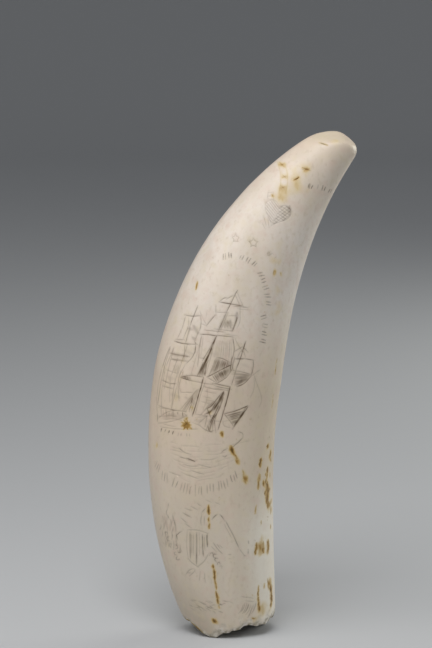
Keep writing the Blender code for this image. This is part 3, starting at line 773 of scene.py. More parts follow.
SPLITS = (
    # x and z of both ends, width of the band, width of the core, strength
    (-7.2, 68.0, -4.5, 61.4, 1.5, 0.45, 0.66), (-3.0, 59.4, -1.5, 54.0, 2.0, 0.3, 0.36),
    (-7.0, 67.4, -6.3, 65.4, 1.2, 0.8, 0.9), (-2.5, 57.2, -1.9, 55.6, 1.6, 0.9, 0.5),
    (5.4, 66.7, 5.4, 65.2, 1.3, 0.9, 0.8), (6.2, 64.3, 6.3, 60.1, 1.5, 0.9, 0.85),
    (3.0, 62.6, 2.7, 59.3, 1.3, 1.4, 1.0), (5.0, 58.7, 4.9, 52.0, 1.2, 1.1, 1.0),
    (4.9, 52.6, 4.9, 48.6, 2.8, 1.2, 0.85), (5.0, 49.2, 5.3, 44.4, 1.8, 0.8, 0.85),
    (2.4, 57.4, 2.4, 54.2, 1.2, 0.4, 0.55), (2.4, 54.6, 2.4, 51.8, 1.2, 0.9, 0.85),
    (3.8, 54.8, 3.9, 52.2, 1.3, 0.8, 0.75), (6.0, 56.3, 6.1, 54.9, 0.6, 0.4, 0.65),
    (6.4, 46.8, 6.4, 42.2, 1.7, 0.8, 0.85), (1.3, 46.3, 1.1, 43.8, 0.6, 0.35, 0.55),
    (6.6, 38.5, 6.5, 36.7, 0.6, 0.35, 0.6), (3.3, 41.0, 3.3, 39.6, 0.6, 0.3, 0.4),
    (1.4, 33.3, 1.6, 29.6, 1.3, 0.9, 0.85), (3.7, 33.7, 3.7, 29.6, 3.2, 1.3, 0.72),
    (5.7, 33.4, 5.9, 28.5, 1.6, 1.0, 0.85), (-14.6, 47.8, -14.4, 44.6, 1.0, 0.85, 0.95),
    (-14.3, 43.9, -14.3, 39.5, 0.7, 0.45, 0.85), (-13.0, 27.3, -12.3, 21.6, 0.9, 0.8, 1.0),
    (-12.3, 22.2, -11.9, 18.2, 0.7, 0.4, 0.8), (-11.8, 17.5, -11.2, 12.8, 0.8, 0.9, 1.0),
    (-11.2, 12.4, -11.0, 11.4, 0.8, 0.2, 0.4), (-12.8, 7.5, -12.0, 5.9, 1.8, 1.6, 1.0),
    (2.3, 18.6, 2.2, 16.2, 0.6, 0.25, 0.5), (2.2, 16.4, 2.6, 9.2, 0.8, 0.7, 1.0),
    (6.2, 20.0, 6.5, 15.4, 2.6, 1.2, 0.5), (6.6, 17.2, 6.9, 9.4, 1.4, 1.1, 1.0),
    (5.6, 19.2, 6.3, 16.4, 1.6, 0.4, 0.4), (4.3, 18.9, 4.2, 17.1, 0.7, 0.4, 0.45),
    (-9.8, 72.9, -9.8, 70.9, 1.2, 1.1, 1.0), (-18.0, 121.5, -18.5, 119.2, 0.9, 0.8, 0.9),
    (-32.0, 67.8, -31.8, 65.4, 1.4, 0.3, 0.3), (7.4, 126.2, 7.4, 123.8, 1.3, 0.4, 0.6),
    (9.2, 125.2, 9.6, 123.6, 1.2, 0.2, 0.35), (16.2, 159.2, 19.0, 158.4, 1.6, 0.2, 0.24),
    (16.8, 157.9, 18.6, 158.8, 1.2, 0.15, 0.22), (13.8, 155.2, 15.4, 156.1, 0.7, 0.5, 0.7),
    (6.4, 150.4, 6.9, 149.8, 0.8, 0.6, 0.7), (22.2, 167.6, 24.5, 166.7, 0.9, 0.3, 0.3),
    (8.2, 96.0, 7.4, 90.0, 0.6, 0.25, 0.35), (7.0, 84.0, 6.6, 78.6, 0.6, 0.25, 0.35),
    (0.2, 7.3, 1.0, 7.0, 0.8, 0.8, 0.8),
)
for *ends, band, core, strength in SPLITS:
    split(*pairs(ends), band, core, strength)

# The broken edge low on the left is painted dark as shade, and two nicks near the tip have gone grey
# with dirt.
edge = pairs((-22.6, 5.0, -20.6, 4.4, -18.2, 3.0, -16.2, 1.2))
cut(through(edge), width=1.6, depth=0.03, ink=0.5, stain=0.7)
lines(
    (0.62, 0.85, 22.4, 167.5, 23.4, 167.2, 24.3, 166.7), (0.55, 0.42, 17.2, 159.1, 19.0, 158.3),
    (0.5, 0.3, 16.2, 158.5, 17.2, 158.7),
)

# The back, which was left plain, has a few splits of its own, the longest of them near the root.
BACK_SPLITS = (
    (-4.6, 30.0, -3.0, 12.0, 1.1, 0.7, 0.85), (-19.4, 44.0, -18.2, 31.0, 0.9, 0.5, 0.75),
    (0.6, 71.0, -0.2, 62.0, 0.9, 0.5, 0.7), (-24.0, 88.0, -24.4, 82.0, 0.8, 0.3, 0.5),
    (3.6, 24.0, 4.0, 15.0, 1.0, 0.6, 0.8), (-2.4, 112.0, -3.4, 107.0, 0.8, 0.3, 0.5),
)
for *ends, band, core, strength in BACK_SPLITS:
    split(*pairs(ends), band, core, strength, behind=True)

# A knot in the ship's hull, stained brown, with short cracks that run out of it in rays.
for angle in np.radians(np.arange(0, 360, 40)):
    ray = np.array((np.cos(angle), np.sin(angle)))
    start = np.array((-21.6, 75.0)) + 0.3 * ray
    reach = chance.uniform(0.8, 2.0) * ray
    cut([start, start + reach / 2, start + reach], width=chance.uniform(0.9, 1.5), depth=0.05, ink=0,
        stain=chance.uniform(0.45, 0.8), halo=0.6)
blotch((-21.6, 74.8), 0.7, 0.9, 5)

BLOTCHES = (
    # x, z, reach, strength, count
    (8.4, 149.4, 3.2, 0.28, 9), (10.0, 151.2, 2.6, 0.22, 7), (14.6, 153.6, 4.4, 0.24, 12),
    (14.2, 155.6, 2.6, 0.22, 5), (17.4, 158.8, 3.4, 0.22, 8), (7.6, 128.8, 2.6, 0.26, 6),
    (8.0, 119.0, 2.6, 0.24, 6), (8.8, 112.0, 2.6, 0.2, 6), (-21.6, 76.6, 1.0, 0.9, 3),
    (4.6, 9.0, 3.0, 0.34, 9), (1.6, 6.6, 1.6, 0.4, 4), (-24.0, 90.0, 3.0, 0.12, 5),
    (-22.6, 96.6, 2.2, 0.12, 4), (-25.4, 83.0, 2.4, 0.14, 5), (27.4, 168.6, 2.6, 0.2, 5),
    (10.2, 158.6, 1.6, 0.2, 4), (4.6, 141.6, 1.8, 0.16, 4), (3.7, 33.8, 1.6, 0.3, 4),
    (-14.2, 79.0, 1.2, 0.4, 4), (-19.8, 80.6, 1.4, 0.3, 4), (12.0, 158.6, 2.6, 0.1, 4),
)
for blotch_x, blotch_z, reach, strength, count in BLOTCHES:
    blotch((blotch_x, blotch_z), reach, strength, count)

# Tiny pits and flecks of dirt, spread evenly over the front.
FLECKS = 70
for _ in range(FLECKS):
    at = np.array((chance.uniform(-31, 6), chance.uniform(3, 130)))
    fleck = at + chance.uniform(-0.25, 0.25, 2)
    cut([at, (at + fleck) / 2 + 0.05, fleck], width=0.34, depth=0.05, ink=chance.uniform(0.05, 0.3),
        stain=chance.uniform(0, 0.3), halo=0.3, taper=0.3)


# ---------------------------------------------------------------------------------------------
# The carved surface. The flat pattern is filled with staggered points, each groove adds a row of
# points down its middle and one along each side, and the whole is triangulated and wrapped round.

# Spacing of the points, and how far round and how high each spacing reaches.
FRONT_STEP, BACK_STEP, RIM_STEP, ROW_RISE = 0.5, 1.1, 0.34, 0.866
FRONT_TURN, RIM_ZONE = 1.9, 3.4
# Room kept free beside a groove, and the depth under which a line is only a tint.
GROOVE_CLEARANCE, SCRATCH = 0.16, 0.04
# Ends of a groove, the tint that spreads beside it, and how unevenly its ink and stain have worn.
BLUNT_END, NARROWEST = 0.2, 0.15
SMUDGE, STAIN_SPREAD = 0.26, 0.55
INK_WORN, INK_WORN_SIZE = 0.4, 1.3
STAIN_PATCHY, STAIN_PATCH_SIZE = 0.25, 0.9
# Steps that carry a drawing onto the skin, and the farthest to the side that it may reach.
SETTLING_STEPS, SIDE_LIMIT = 6, 0.985
SAME_PLACE, ON_RIM, ON_EDGE = 1e-5, 1e-4, 1e-3


def onto_skin(place):
    """Turn and along for places on the drawing. The nearest point of the centreline is found by
    stepping along it; what is left across it is the sine of the turn times the half width."""
    along = np.interp(place[:, 1], trace_height, trace)
    for _ in range(SETTLING_STEPS):
        lean = lean_at(along)
        centre = [np.interp(along, trace, side) for side in (trace_across, trace_height)]
        offset = place - np.column_stack(centre) - stand_at[::2]
        along = along + offset[:, 0] * np.sin(lean) + offset[:, 1] * np.cos(lean)
    across = offset[:, 0] * np.cos(lean) - offset[:, 1] * np.sin(lean)
    return np.arcsin(np.clip(across / half_width(along), -SIDE_LIMIT, SIDE_LIMIT)), along


def beside(turn, along, reach):
    """Turn and along of points that stand a reach to one side of a path on the skin: the steps in
    turn and along whose slopes add up, by least squares, to that way sideways."""
    by_turn, by_along = skin_slopes(turn, along)
    path = skin(turn, along)
    side = np.cross(skin_normal(turn, along), np.gradient(path, axis=0))
    side = side / np.linalg.norm(side, axis=1, keepdims=True) * reach[:, None]
    slopes = np.stack([by_turn, by_along], axis=-1)
    towards = (slopes * side[..., None]).sum(1)[..., None]
    steps = np.linalg.solve(slopes.swapaxes(1, 2) @ slopes, towards)
    return turn + steps[:, 0, 0], along + steps[:, 1, 0]


def unwrap(pattern):
    """Turn and along from the pattern: x divided by the mean radius, and no turn at the pole."""
    turn = pattern[:, 0] / np.maximum(pattern_radius(pattern[:, 1]), ALMOST_ZERO)
    turn = np.where(pattern[:, 1] > PATTERN_TOP - ON_EDGE, 0.0, turn)
    return turn, along_from(turn, pattern[:, 1])


def filler():
    """Staggered rows over the pattern: fine on the front and by the rim, coarser at the back."""
    rows, up = [], RIM_STEP * ROW_RISE
    while up < PATTERN_TOP - FRONT_STEP / 2:
        fine = up < RIM_ZONE
        step = RIM_STEP if fine else FRONT_STEP
        radius = float(pattern_radius(np.array(up)))
        edge = np.pi * radius
        front = edge - 0.6 * step if fine else min(FRONT_TURN * radius, edge - 0.6 * step)
        half_row = np.arange((len(rows) % 2) * step / 2, front, step)
        row = np.concatenate([-half_row[::-1], half_row])
        if not fine and len(rows) % 2:
            stagger = len(rows) % 4 // 2 / 2
            back = np.arange(front + BACK_STEP * (0.6 + stagger), edge - BACK_STEP / 3, BACK_STEP)
            row = np.concatenate([-back, row, back])
        rows.append(np.column_stack([row, np.full(len(row), up)]))
        up += step * ROW_RISE
    return np.unique(np.vstack(rows), axis=0)


def gap_to(point, path):
    """Distance from each point to the nearest place of a path, and that place's own distance from
    the nearer end of the path."""
    start, step, run = path[:-1], np.diff(path, axis=0), run_of(path)
    offset = point[:, None] - start
    share = np.clip((offset * step).sum(-1) / (step * step).sum(-1), 0, 1)
    gap = np.linalg.norm(offset - step * share[..., None], axis=-1)
    pick = np.arange(len(point)), gap.argmin(1)
    place = run[pick[1]] + share[pick] * (run[pick[1] + 1] - run[pick[1]])
    return gap[pick], np.minimum(place, run[-1] - place)


def narrowed(groove, end):
    """Half width of a groove: it narrows towards each end over its taper."""
    return groove.half * np.clip((end + BLUNT_END) / groove.taper, NARROWEST, 1)


def near_grooves(point, margin):
    """Each groove with the points close to it, their gaps, and its half width beside each. The
    points are first put in order of height, so a groove only looks at its own band."""
    order = np.argsort(point[:, 2])
    height = point[order, 2]
    for groove in grooves:
        room = groove.half + groove.halo + margin
        low, high = groove.path.min(0) - room, groove.path.max(0) + room
        band = order[np.searchsorted(height, low[2]):np.searchsorted(height, high[2])]
        inside = band[((point[band] > low) & (point[band] < high)).all(1)]
        if len(inside):
            gap, end = gap_to(point[inside], groove.path)
            yield groove, inside, gap, narrowed(groove, end)


# Lay every groove on the skin. The deeper ones clear the filler away and add their own points.
grooves, rails, links = [], [], []
for stroke in drawn:
    turn, along = onto_skin(stroke.path)
    turn = np.sign(turn.mean()) * np.pi - turn if stroke.behind else turn
    groove = stroke._replace(path=skin(turn, along))
    grooves.append(groove)
    if stroke.depth < SCRATCH or up_from(turn, along).min() < RIM_STEP:
        continue
    run = run_of(groove.path)
    reach = narrowed(groove, np.minimum(run, run[-1] - run))
    steps = np.arange(len(run))
    for side in (0, 1, -1):
        links.append(sum(map(len, rails)) + np.column_stack([steps[:-1], steps[1:]]))
        rails.append(to_pattern(*beside(turn, along, side * reach)))

fill = filler()
for groove, inside, gap, half in near_grooves(skin(*unwrap(fill)), GROOVE_CLEARANCE):
    if groove.depth >= SCRATCH:
        fill[inside[gap < half + GROOVE_CLEARANCE]] = np.nan
fill = fill[~np.isnan(fill[:, 0])]

seam_up = np.concatenate([np.arange(0, RIM_ZONE, RIM_STEP),
                          np.arange(RIM_ZONE, PATTERN_TOP, BACK_STEP * 0.8)])
seam_x = np.pi * pattern_radius(seam_up)
bottom = to_pattern(rim_turns, rim_feet)
right = np.column_stack([seam_x, seam_up])[1:]
pole = np.array([[0.0, PATTERN_TOP]])
border = np.vstack([bottom, right, pole, right[::-1] * (-1, 1)])
places = np.vstack([border, *rails, fill])
border_links = np.column_stack([np.arange(len(border)), np.roll(np.arange(len(border)), -1)])
edges = np.vstack([border_links, *[link + len(border) for link in links]])

laid, _, flat, *_ = delaunay_2d_cdt(
    [Vector(place) for place in places.tolist()], edges.tolist(), [], 0, SAME_PLACE, False)
laid, flat = np.array(laid), np.array(flat)
middle = laid[flat].mean(1)
edge_up, edge_x = np.append(seam_up, PATTERN_TOP), np.append(seam_x, 0.0)
flat = flat[np.abs(middle[:, 0]) < np.interp(middle[:, 1], edge_up, edge_x)]

# Wrap the pattern round the tooth and give each point the depth, ink and stain of its grooves.
wrap_turn, wrap_along = unwrap(laid)
smooth = skin(wrap_turn, wrap_along)
surface = smooth
normal = skin_normal(wrap_turn, wrap_along)
clean_ink, clean_stain = np.ones(len(laid)), np.ones(len(laid))
cut_depth = np.zeros(len(laid))
for groove, inside, gap, half in near_grooves(surface, 0.0):
    core = np.clip(1 - gap / half, 0, 1)
    smudge = np.clip(1 - gap / (half + groove.halo), 0, 1) ** 2
    clean_ink[inside] *= 1 - groove.ink * np.maximum(core, SMUDGE * smudge)
    clean_stain[inside] *= 1 - groove.stain * np.maximum(core ** 0.5, STAIN_SPREAD * smudge)
    cut_depth[inside] = np.maximum(cut_depth[inside], groove.depth * core * half / groove.half)
ink_mark = (1 - clean_ink) * (1 + INK_WORN * grain(surface, INK_WORN_SIZE, 14))
stain_mark = (1 - clean_stain) * (1 + STAIN_PATCHY * grain(surface, STAIN_PATCH_SIZE, 15))

# The first worn facet shows wherever the skin comes near its plane.
facet_place, facing, ease = FACETS[0]
over = (surface - stand_at - facet_place) @ facing / np.linalg.norm(facing)
facet_mark = np.clip(1 + over / ease, 0, 1)

# Crumbled edge: the lowest part is worn inward, and chips have broken out of it here and there.
EDGE_WEAR, EDGE_ROUND = 0.5, 0.7
CHIP_DEPTH, CHIP_SIZE, CHIP_REACH = 0.65, 2.4, 2.6
PIT_DEPTH, PIT_SIZE, PIT_REACH = 0.3, 0.9, 1.8
BARE_RISE, BARE_REACH = 3.0, 7.0
up = laid[:, 1]
chip = np.clip(grain(surface, CHIP_SIZE, 7) - 0.1, 0, 1) * np.clip(1 - up / CHIP_REACH, 0, 1)
pitting = PIT_DEPTH * np.clip(grain(surface, PIT_SIZE, 8), 0, 1) * np.exp(-up / PIT_REACH)
wear = EDGE_WEAR * np.exp(-up / EDGE_ROUND) + CHIP_DEPTH * chip + pitting
surface = surface - normal * (cut_depth + wear)[:, None]
surface[:, 2] = np.maximum(surface[:, 2], 0)

# Rim face and pulp cavity: one grid of rings, from the outer edge in across the broken wall and
# up the cone of the cavity to its point.
CAVITY_DEPTH, WALL_AT_RIM, CAVITY_TAPER = 46.0, 4.5, 1.6
RIM_ROWS, CAVITY_ROWS = 9, 34
RIM_LUMP, RIM_LUMP_SIZE, RIM_GRIT, RIM_GRIT_SIZE = 0.9, 2.2, 0.35, 0.8
WALL_LUMP, WALL_LUMP_SIZE, WALL_GRIT, WALL_GRIT_SIZE = 0.35, 3.5, 0.12, 1.1


def cavity(turn, along):
    """The oval of the outside less the wall, narrowed by a power of the way up to a point."""
    width, depth = half_width(along), half_depth(along)
    openness = 1 - np.clip(along / CAVITY_DEPTH, 0, 1) ** CAVITY_TAPER
    width, depth = (width - WALL_AT_RIM) * openness, (depth - WALL_AT_RIM) * openness
    return oval(turn, along, width, depth) + stand_at


rim_row = np.flatnonzero(up < ON_RIM)
rim_row = rim_row[np.argsort(laid[rim_row, 0])]
seam = np.flatnonzero(np.abs(np.abs(laid[:, 0]) - np.interp(up, edge_up, edge_x)) < ON_EDGE)
seam = seam[up[seam] < PATTERN_TOP - ON_EDGE]
seam = seam[np.argsort(up[seam])]
seam_left, seam_right = seam[laid[seam, 0] < 0], seam[laid[seam, 0] > 0]
weld = np.arange(len(laid) + (RIM_ROWS + CAVITY_ROWS) * RIM_COLUMNS)
weld[seam_right] = seam_left
surface[seam_right] = surface[seam_left]

ring_turn = rim_turns[:-1]
outer_edge = surface[rim_row[:-1]]
inner_foot = rise_to(cavity, ring_turn, rim_height(ring_turn))
inner_edge = cavity(ring_turn, inner_foot)
across_rim = np.linspace(0, 1, RIM_ROWS + 1)[1:, None, None]
face = outer_edge * (1 - across_rim) + inner_edge * across_rim
lift = np.clip(face[..., 2], 0, 1) * np.sin(across_rim[..., 0] * np.pi) ** 0.5
lumps = (RIM_LUMP * np.abs(grain(face, RIM_LUMP_SIZE, 9))
         + RIM_GRIT * np.abs(grain(face, RIM_GRIT_SIZE, 10)))
face[..., 2] += lift * lumps
way_in = (np.arange(1, CAVITY_ROWS) / CAVITY_ROWS)[:, None]
wall = cavity(ring_turn, inner_foot + (CAVITY_DEPTH - inner_foot) * way_in)
hollow_axis = cavity(0.0 * ring_turn, CAVITY_DEPTH + 0.0 * ring_turn)[:1]
inward = hollow_axis - wall
inward = inward * (1, 1, 0) / np.linalg.norm(inward * (1, 1, 0) + 1e-9, axis=-1, keepdims=True)
bumps = WALL_LUMP * grain(wall, WALL_LUMP_SIZE, 11) + WALL_GRIT * grain(wall, WALL_GRIT_SIZE, 12)
wall += inward * bumps[..., None] * (1 - way_in)[..., None]
inside_rings = np.concatenate([face, wall])
tip_index = len(laid) + len(inside_rings) * RIM_COLUMNS
ring_index = np.arange(len(laid), tip_index).reshape(-1, RIM_COLUMNS)
ring_index = np.vstack([rim_row[:-1], ring_index])
ring_index = np.column_stack([weld[ring_index], weld[ring_index[:, :1]]])
a, b, c, d = ring_index[:-1, :-1], ring_index[:-1, 1:], ring_index[1:, 1:], ring_index[1:, :-1]
quads = np.stack([a, d, c, b], axis=-1).reshape(-1, 4)
last = ring_index[-1]
cap = np.column_stack([last[:-1], np.full(RIM_COLUMNS, tip_index), last[1:]])
points = np.vstack([surface, inside_rings.reshape(-1, 3), hollow_axis])

triangles = np.vstack([weld[flat], quads[:, [0, 1, 2]], quads[:, [0, 2, 3]], cap])
used, compact = np.unique(triangles, return_inverse=True)
compact = compact.reshape(-1, 3)


# How strongly each kind of wear, dirt, painted shade and painted light shows, kept on the mesh. The
# broad ones run from none to full between two heights in millimetres, and some between two turns in
# radians as well.
def ramp(value, none, full):
    """Share of the way from one value to another, kept between 0 and 1."""
    return np.clip((value - none) / (full - none), 0, 1)


def pad(outside, inside):
    """Values of the outer skin, then of the rim's and cavity's rings, then of the cavity's point."""
    return np.concatenate([outside, np.ravel(inside), [np.ravel(inside)[-1]]])[used]


no_rings = np.zeros((RIM_ROWS + CAVITY_ROWS - 1, RIM_COLUMNS))
# Painted shade in the cavity: faint across the rim face, deepening to full at the cavity's point.
rings_deep = np.concatenate([np.linspace(0.05, 0.25, RIM_ROWS), np.linspace(0.3, 1, CAVITY_ROWS - 1)])
bare_edge = 1.2 - up / BARE_RISE + 0.8 * grain(smooth, 1.8, 13) + 0.4 * grain(smooth, 0.7, 16)
bare_outside = np.clip(bare_edge, 0, 1) * np.clip(1 - up / BARE_REACH, 0, 1) ** 0.5
high, turn = smooth[:, 2], wrap_turn
# Painted sheen: paler and cooler over the upper half, where the broad highlight falls.
painted_sheen_upper = ramp(high, 84, 120) * ramp(high, 170, 144)
# Painted shade tint: the right side, turned from the key light, is coloured greener.
painted_shade_tint_right = ramp(turn, 0.1, 1.2) * ramp(np.abs(turn), 2.2, 1.2)
# Painted shade: darker low on the left, where less light falls.
painted_shade_low_left = ramp(high, 26, 6) * ramp(turn, -0.1, -0.6) * ramp(turn, -2.4, -1.4)
# Painted light: paler low on the right, as if lit from behind on that side.
painted_light_low_right = ramp(high, 58, 36) * ramp(turn, 0.35, 0.85) * ramp(turn, 2.4, 1.4)
marks = {
    "ink": pad(ink_mark, no_rings),
    "stain": pad(stain_mark, no_rings),
    "facet": pad(facet_mark, no_rings),
    "painted_sheen_upper": pad(painted_sheen_upper, no_rings),
    "painted_shade_tint_right": pad(painted_shade_tint_right, no_rings),
    "bare": pad(bare_outside, no_rings + 1),
    "painted_shade_low_left": pad(painted_shade_low_left, no_rings),
    "painted_light_low_right": pad(painted_light_low_right, no_rings),
    "root": pad(ramp(high, 75, 40), no_rings + 1),
    "cavity_painted_shade": pad(np.zeros(len(laid)), no_rings + rings_deep[:, None]),
}

# Map for the bake: along the tooth runs across the square; round it, the front gets most room, and
# the rim and cavity lie in a strip of their own.
BACK_SHARE, FRONT_SHARE, STRIP = 0.11, 0.46, (0.70, 0.99)
MAP_EDGE = 0.008
turn_stops = (-np.pi, -FRONT_TURN, FRONT_TURN, np.pi)
share_stops = np.cumsum([MAP_EDGE, BACK_SHARE, FRONT_SHARE, BACK_SHARE])


def inside_edge(share):
    """A share of the square's side, squeezed to leave the edge of the map free."""
    return MAP_EDGE + (1 - 2 * MAP_EDGE) * share


def outer_map(turn, up):
    """Height on the pattern as a share across, and the turn's place between the stops."""
    return np.stack([inside_edge(up / PATTERN_TOP), np.interp(turn, turn_stops, share_stops)], -1)


corner_turn, corner_up = wrap_turn[flat], up[flat]
at_pole = corner_up > PATTERN_TOP - ON_EDGE
beside_pole = np.where(at_pole, 0, corner_turn).sum(1, keepdims=True) / 2
corner_turn = np.where(at_pole, beside_pole, corner_turn)
outer_corners = outer_map(corner_turn, corner_up)
column = np.arange(RIM_COLUMNS + 1) / RIM_COLUMNS
row = np.arange(len(ring_index) + 1) / len(ring_index)
grid_map = np.meshgrid(inside_edge(column), STRIP[0] + (STRIP[1] - STRIP[0]) * row)
grid_map = np.stack(grid_map, axis=-1)
corner = [grid_map[:-2, :-1], grid_map[1:-1, :-1], grid_map[1:-1, 1:], grid_map[:-2, 1:]]
corner = np.stack(corner, axis=2).reshape(-1, 4, 2)
cap_tip = (grid_map[-1, :-1] + grid_map[-1, 1:]) / 2
cap_corners = np.stack([grid_map[-2, :-1], cap_tip, grid_map[-2, 1:]], axis=1)
corners = np.vstack([outer_corners, corner[:, [0, 1, 2]], corner[:, [0, 2, 3]], cap_corners])

mesh = bpy.data.meshes.new("tooth_ivory")
mesh.from_pydata((points[used] / METRE).tolist(), [], compact.tolist())
for name, values in marks.items():
    mesh.attributes.new(name, "FLOAT", "POINT").data.foreach_set("value", values.astype(np.float32))
mesh.uv_layers.new(name="OFBake").uv.foreach_set("vector", corners.astype(np.float32).ravel())
mesh.shade_smooth()
mesh.update()
tooth_ivory = bpy.data.objects.new("tooth_ivory", mesh)
bpy.context.scene.collection.objects.link(tooth_ivory)


# Ivory, filed, rubbed smooth and polished by hand: dense and creamy, with a broad soft gloss that
# is a little uneven where it was handled, and nearly matt where it has broken.
def linear(colour):
    """Hex colour as seen on a screen, turned into the linear red, green and blue that light adds:
    a straight slope near black and a power above it."""
    parts = np.array([int(colour[first:first + 2], 16) / 255 for first in (1, 3, 5)])
    return (*np.where(parts <= 0.04045, parts / 12.92, ((parts + 0.055) / 1.055) ** 2.4), 1.0)


def add_node(tree, kind, links=None, inputs=None, **settings):
    """Add a node, set its own settings and unlinked inputs, and link its other inputs."""
    node = tree.nodes.new("ShaderNode" + kind)
    for name, value in settings.items():
        setattr(node, name, value)
    for name, value in (inputs or {}).items():
        node.inputs[name].default_value = value
    for name, source in (links or {}).items():
        tree.links.new(source, node.inputs[name])
    return node


ivory = bpy.data.materials.new("hand_polished_ivory")
ivory.use_nodes = True
tree = ivory.node_tree
tree.nodes.clear()

# Patterns in the ivory, each at its real size in millimetres; the streaks run up the tooth.
PATTERNS = (
    # name, size, detail, stretch upwards
    ("clouding", 26, 3, 1), ("streaks", 5, 3, 6), ("mottle", 3.4, 3, 1), ("specks", 1.2, 4, 1.5),
    ("chalk", 1.6, 5, 1), ("handling", 7, 4, 1), ("scratches", 0.9, 4, 1.6),
)
masks = {name: add_node(tree, "Attribute", attribute_name=name).outputs["Fac"] for name in marks}
object_place = add_node(tree, "TexCoord").outputs["Object"]
for name, size, detail, stretch in PATTERNS:
    scale = np.array((1, 1, 1 / stretch)) * METRE / size
    scaled = add_node(tree, "Mapping", {"Vector": object_place}, {"Scale": scale})
    masks[name] = add_node(tree, "TexNoise", {"Vector": scaled.outputs["Vector"]},
                           {"Scale": 1.0, "Detail": detail}).outputs["Fac"]

# Layers of colour, from the ivory up. Each shows where its mask rises from low to high. The root
# is a little greyer, with painted shade low on the left and a painted pool of light low on the
# right. A paler painted sheen lies over the upper half, and a greener painted shade tint runs down
# the right side. A stain goes from straw through ochre to a brown core, and the lamp black in the
# grooves has gone brown too. Painted shade darkens the cavity towards its point.
IVORY = "#e0ceba"
LAYERS = (
    # mask, low, high, strength, colour
    # The first rows: the root's grey, painted shade low left, a greener painted shade tint on the
    # right, a painted sheen over the upper half and painted light low right.
    ("root", 0.0, 1.0, 0.9, "#dcd0be"), ("painted_shade_low_left", 0.0, 1.0, 0.9, "#c2b49f"),
    ("painted_shade_tint_right", 0.0, 1.0, 0.7, "#dacdb3"), ("painted_sheen_upper", 0.0, 1.0, 0.9, "#ede5dd"),
    ("painted_light_low_right", 0.0, 1.0, 0.95, "#f4ecdc"),
    ("clouding", 0.4, 0.7, 0.45, "#dbc7aa"), ("streaks", 0.42, 0.72, 0.4, "#d2c5b2"),
    ("streaks", 0.5, 0.25, 0.35, "#e8d8c4"), ("mottle", 0.5, 0.72, 0.45, "#dcc4b2"),
    ("mottle", 0.48, 0.26, 0.4, "#dccdac"), ("specks", 0.55, 0.75, 0.35, "#c2b094"),
    # Painted light low on the right, once more and paler.
    ("painted_light_low_right", 0.3, 1.0, 0.6, "#f6f0e2"),
    ("facet", 0.3, 1.0, 0.35, "#e8dcb8"), ("bare", 0.0, 1.0, 0.85, "#e4dfd6"),
    ("stain", 0.03, 0.25, 0.75, "#dbc48e"), ("stain", 0.2, 0.6, 0.9, "#b28730"),
    ("stain", 0.5, 0.95, 0.95, "#66490e"), ("ink", 0.0, 1.0, 1.0, "#574122"),
    ("chalk", 0.42, 0.6, "bare", "#9d9378"), ("cavity_painted_shade", 0.0, 1.0, 1.0, "#6f5a3c"),
)
MIX_SHARE, MIX_BELOW, MIX_ABOVE, MIX_RESULT = 0, 6, 7, 2
ground = add_node(tree, "RGB")
ground.outputs["Color"].default_value = linear(IVORY)
below = ground.outputs["Color"]
for mask, low, high, strength, colour in LAYERS:
    links, inputs = {"Value": masks[mask]}, {"From Min": low, "From Max": high}
    if strength in masks:
        links["To Max"] = masks[strength]
    else:
        inputs["To Max"] = strength
    share = add_node(tree, "MapRange", links, inputs).outputs["Result"]
    below = add_node(tree, "Mix", {MIX_SHARE: share, MIX_BELOW: below}, {MIX_ABOVE: linear(colour)},
                     data_type="RGBA").outputs[MIX_RESULT]

POLISHED, RUBBED, BROKEN_ROUGHNESS = 0.38, 0.48, 0.35
gloss_range = {"From Min": 0.3, "From Max": 0.7, "To Min": POLISHED, "To Max": RUBBED}
gloss = add_node(tree, "MapRange", {"Value": masks["handling"]}, gloss_range).outputs["Result"]
roughness = add_node(tree, "Math", {0: masks["bare"], 2: gloss}, {1: BROKEN_ROUGHNESS},
                     operation="MULTIPLY_ADD").outputs[0]
SCRATCH_RELIEF = 0.1 / METRE
relief = add_node(tree, "Bump", {"Height": masks["scratches"]},
                  {"Strength": 0.15, "Distance": SCRATCH_RELIEF}).outputs["Normal"]
shader = add_node(tree, "BsdfPrincipled",
                  {"Base Color": below, "Roughness": roughness, "Normal": relief},
                  {"IOR": 1.54, "Specular IOR Level": 0.55})
add_node(tree, "OutputMaterial", {"Surface": shader.outputs["BSDF"]})
mesh.materials.append(ivory)

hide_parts("tooth")
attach(tooth_ivory, "root")


# ---------------------------------------------------------------------------------------------
# Where it stands: plain pale paper that sweeps up into a low wall all round, and soft lights as in
# a studio. The near one, high on the left, makes the long highlight.

SWEEP_FLAT, SWEEP_BEND, SWEEP_SIDES = 2.2, 1.0, 96
bend = np.linspace(0, np.pi / 2, 24)
sweep_out = np.concatenate([[0.001, 0.5], SWEEP_FLAT + SWEEP_BEND * np.sin(bend)])
sweep_up = np.concatenate([[0.0, 0.0], SWEEP_BEND * (1 - np.cos(bend))])
around = np.arange(SWEEP_SIDES) / SWEEP_SIDES * 2 * np.pi
sweep = np.stack(np.broadcast_arrays(sweep_out[:, None] * np.cos(around),
                                     sweep_out[:, None] * np.sin(around),
                                     sweep_up[:, None]), axis=-1)
ring = np.arange(len(sweep_out) * SWEEP_SIDES).reshape(-1, SWEEP_SIDES)
beyond = np.roll(ring, -1, axis=1)
panels = np.stack([ring[:-1], ring[1:], beyond[1:], beyond[:-1]], axis=-1).reshape(-1, 4)
floor_mesh = bpy.data.meshes.new("floor")
floor_mesh.from_pydata(sweep.reshape(-1, 3).tolist(), [], panels.tolist() + [ring[0].tolist()])
floor_mesh.shade_smooth()
floor = bpy.data.objects.new("floor", floor_mesh)
bpy.context.scene.collection.objects.link(floor)

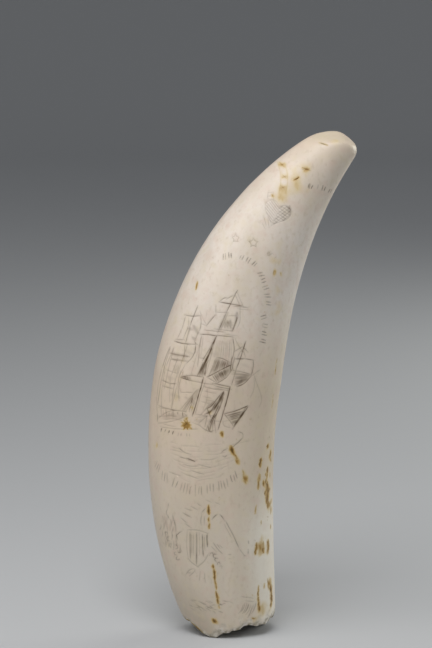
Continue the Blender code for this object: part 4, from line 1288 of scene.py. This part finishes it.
# Uncoated paper: pale, even and matt, so that it takes a soft shadow and no gloss.
paper = bpy.data.materials.new("pale_paper")
paper.use_nodes = True
paper_shader = paper.node_tree.nodes["Principled BSDF"]
paper_shader.inputs["Base Color"].default_value = linear("#c3c5c7")
paper_shader.inputs["Roughness"].default_value = 0.8
floor_mesh.materials.append(paper)

LIGHTS = (
    # name, place, aim, side in metres, power in watts, colour
    ("key", (-0.234, -0.183, 0.398), (0.0, 0.0, 0.13), 0.30, 0.75, "#fffcfa"),
    ("side", (0.71, 0.50, 0.28), (0.0, 0.0, 0.05), 0.40, 3.0, "#fffff8"),
    ("overhead", (0.0, -0.50, 0.96), (0.0, 0.0, 0.09), 0.50, 4.7, "#ffffff"),
)
for name, place, aim, side, power, colour in LIGHTS:
    lamp = bpy.data.lights.new(name, "AREA")
    lamp.shape, lamp.size = "SQUARE", side
    lamp.energy, lamp.color = power, linear(colour)[:3]
    light = bpy.data.objects.new(name, lamp)
    light.location = place
    light.rotation_euler = (Vector(aim) - Vector(place)).to_track_quat("-Z", "Y").to_euler()
    bpy.context.scene.collection.objects.link(light)

world = bpy.data.worlds.new("room")
world.use_nodes = True
background = world.node_tree.nodes["Background"]
background.inputs["Color"].default_value = linear("#e4e6e9")
background.inputs["Strength"].default_value = 0.25
bpy.context.scene.world = world
bpy.context.scene.view_settings.view_transform = "Standard"

# Camera: aimed just above the middle of the tooth, looking nine degrees down, with a long lens.
CAMERA_AIM = Vector((-11.94, 0.0, 106.1)) / METRE
CAMERA_PITCH, CAMERA_DISTANCE, CAMERA_LENS = np.radians(9.0), 0.665, 110.0
camera = bpy.data.objects.new("camera", bpy.data.cameras.new("camera"))
camera.data.lens = CAMERA_LENS
camera.data.clip_end = 50.0
back_from_aim = Vector((0, -np.cos(CAMERA_PITCH), np.sin(CAMERA_PITCH)))
camera.location = CAMERA_AIM + CAMERA_DISTANCE * back_from_aim
camera.rotation_euler = (np.pi / 2 - CAMERA_PITCH, 0, 0)
bpy.context.scene.collection.objects.link(camera)
bpy.context.scene.camera = camera
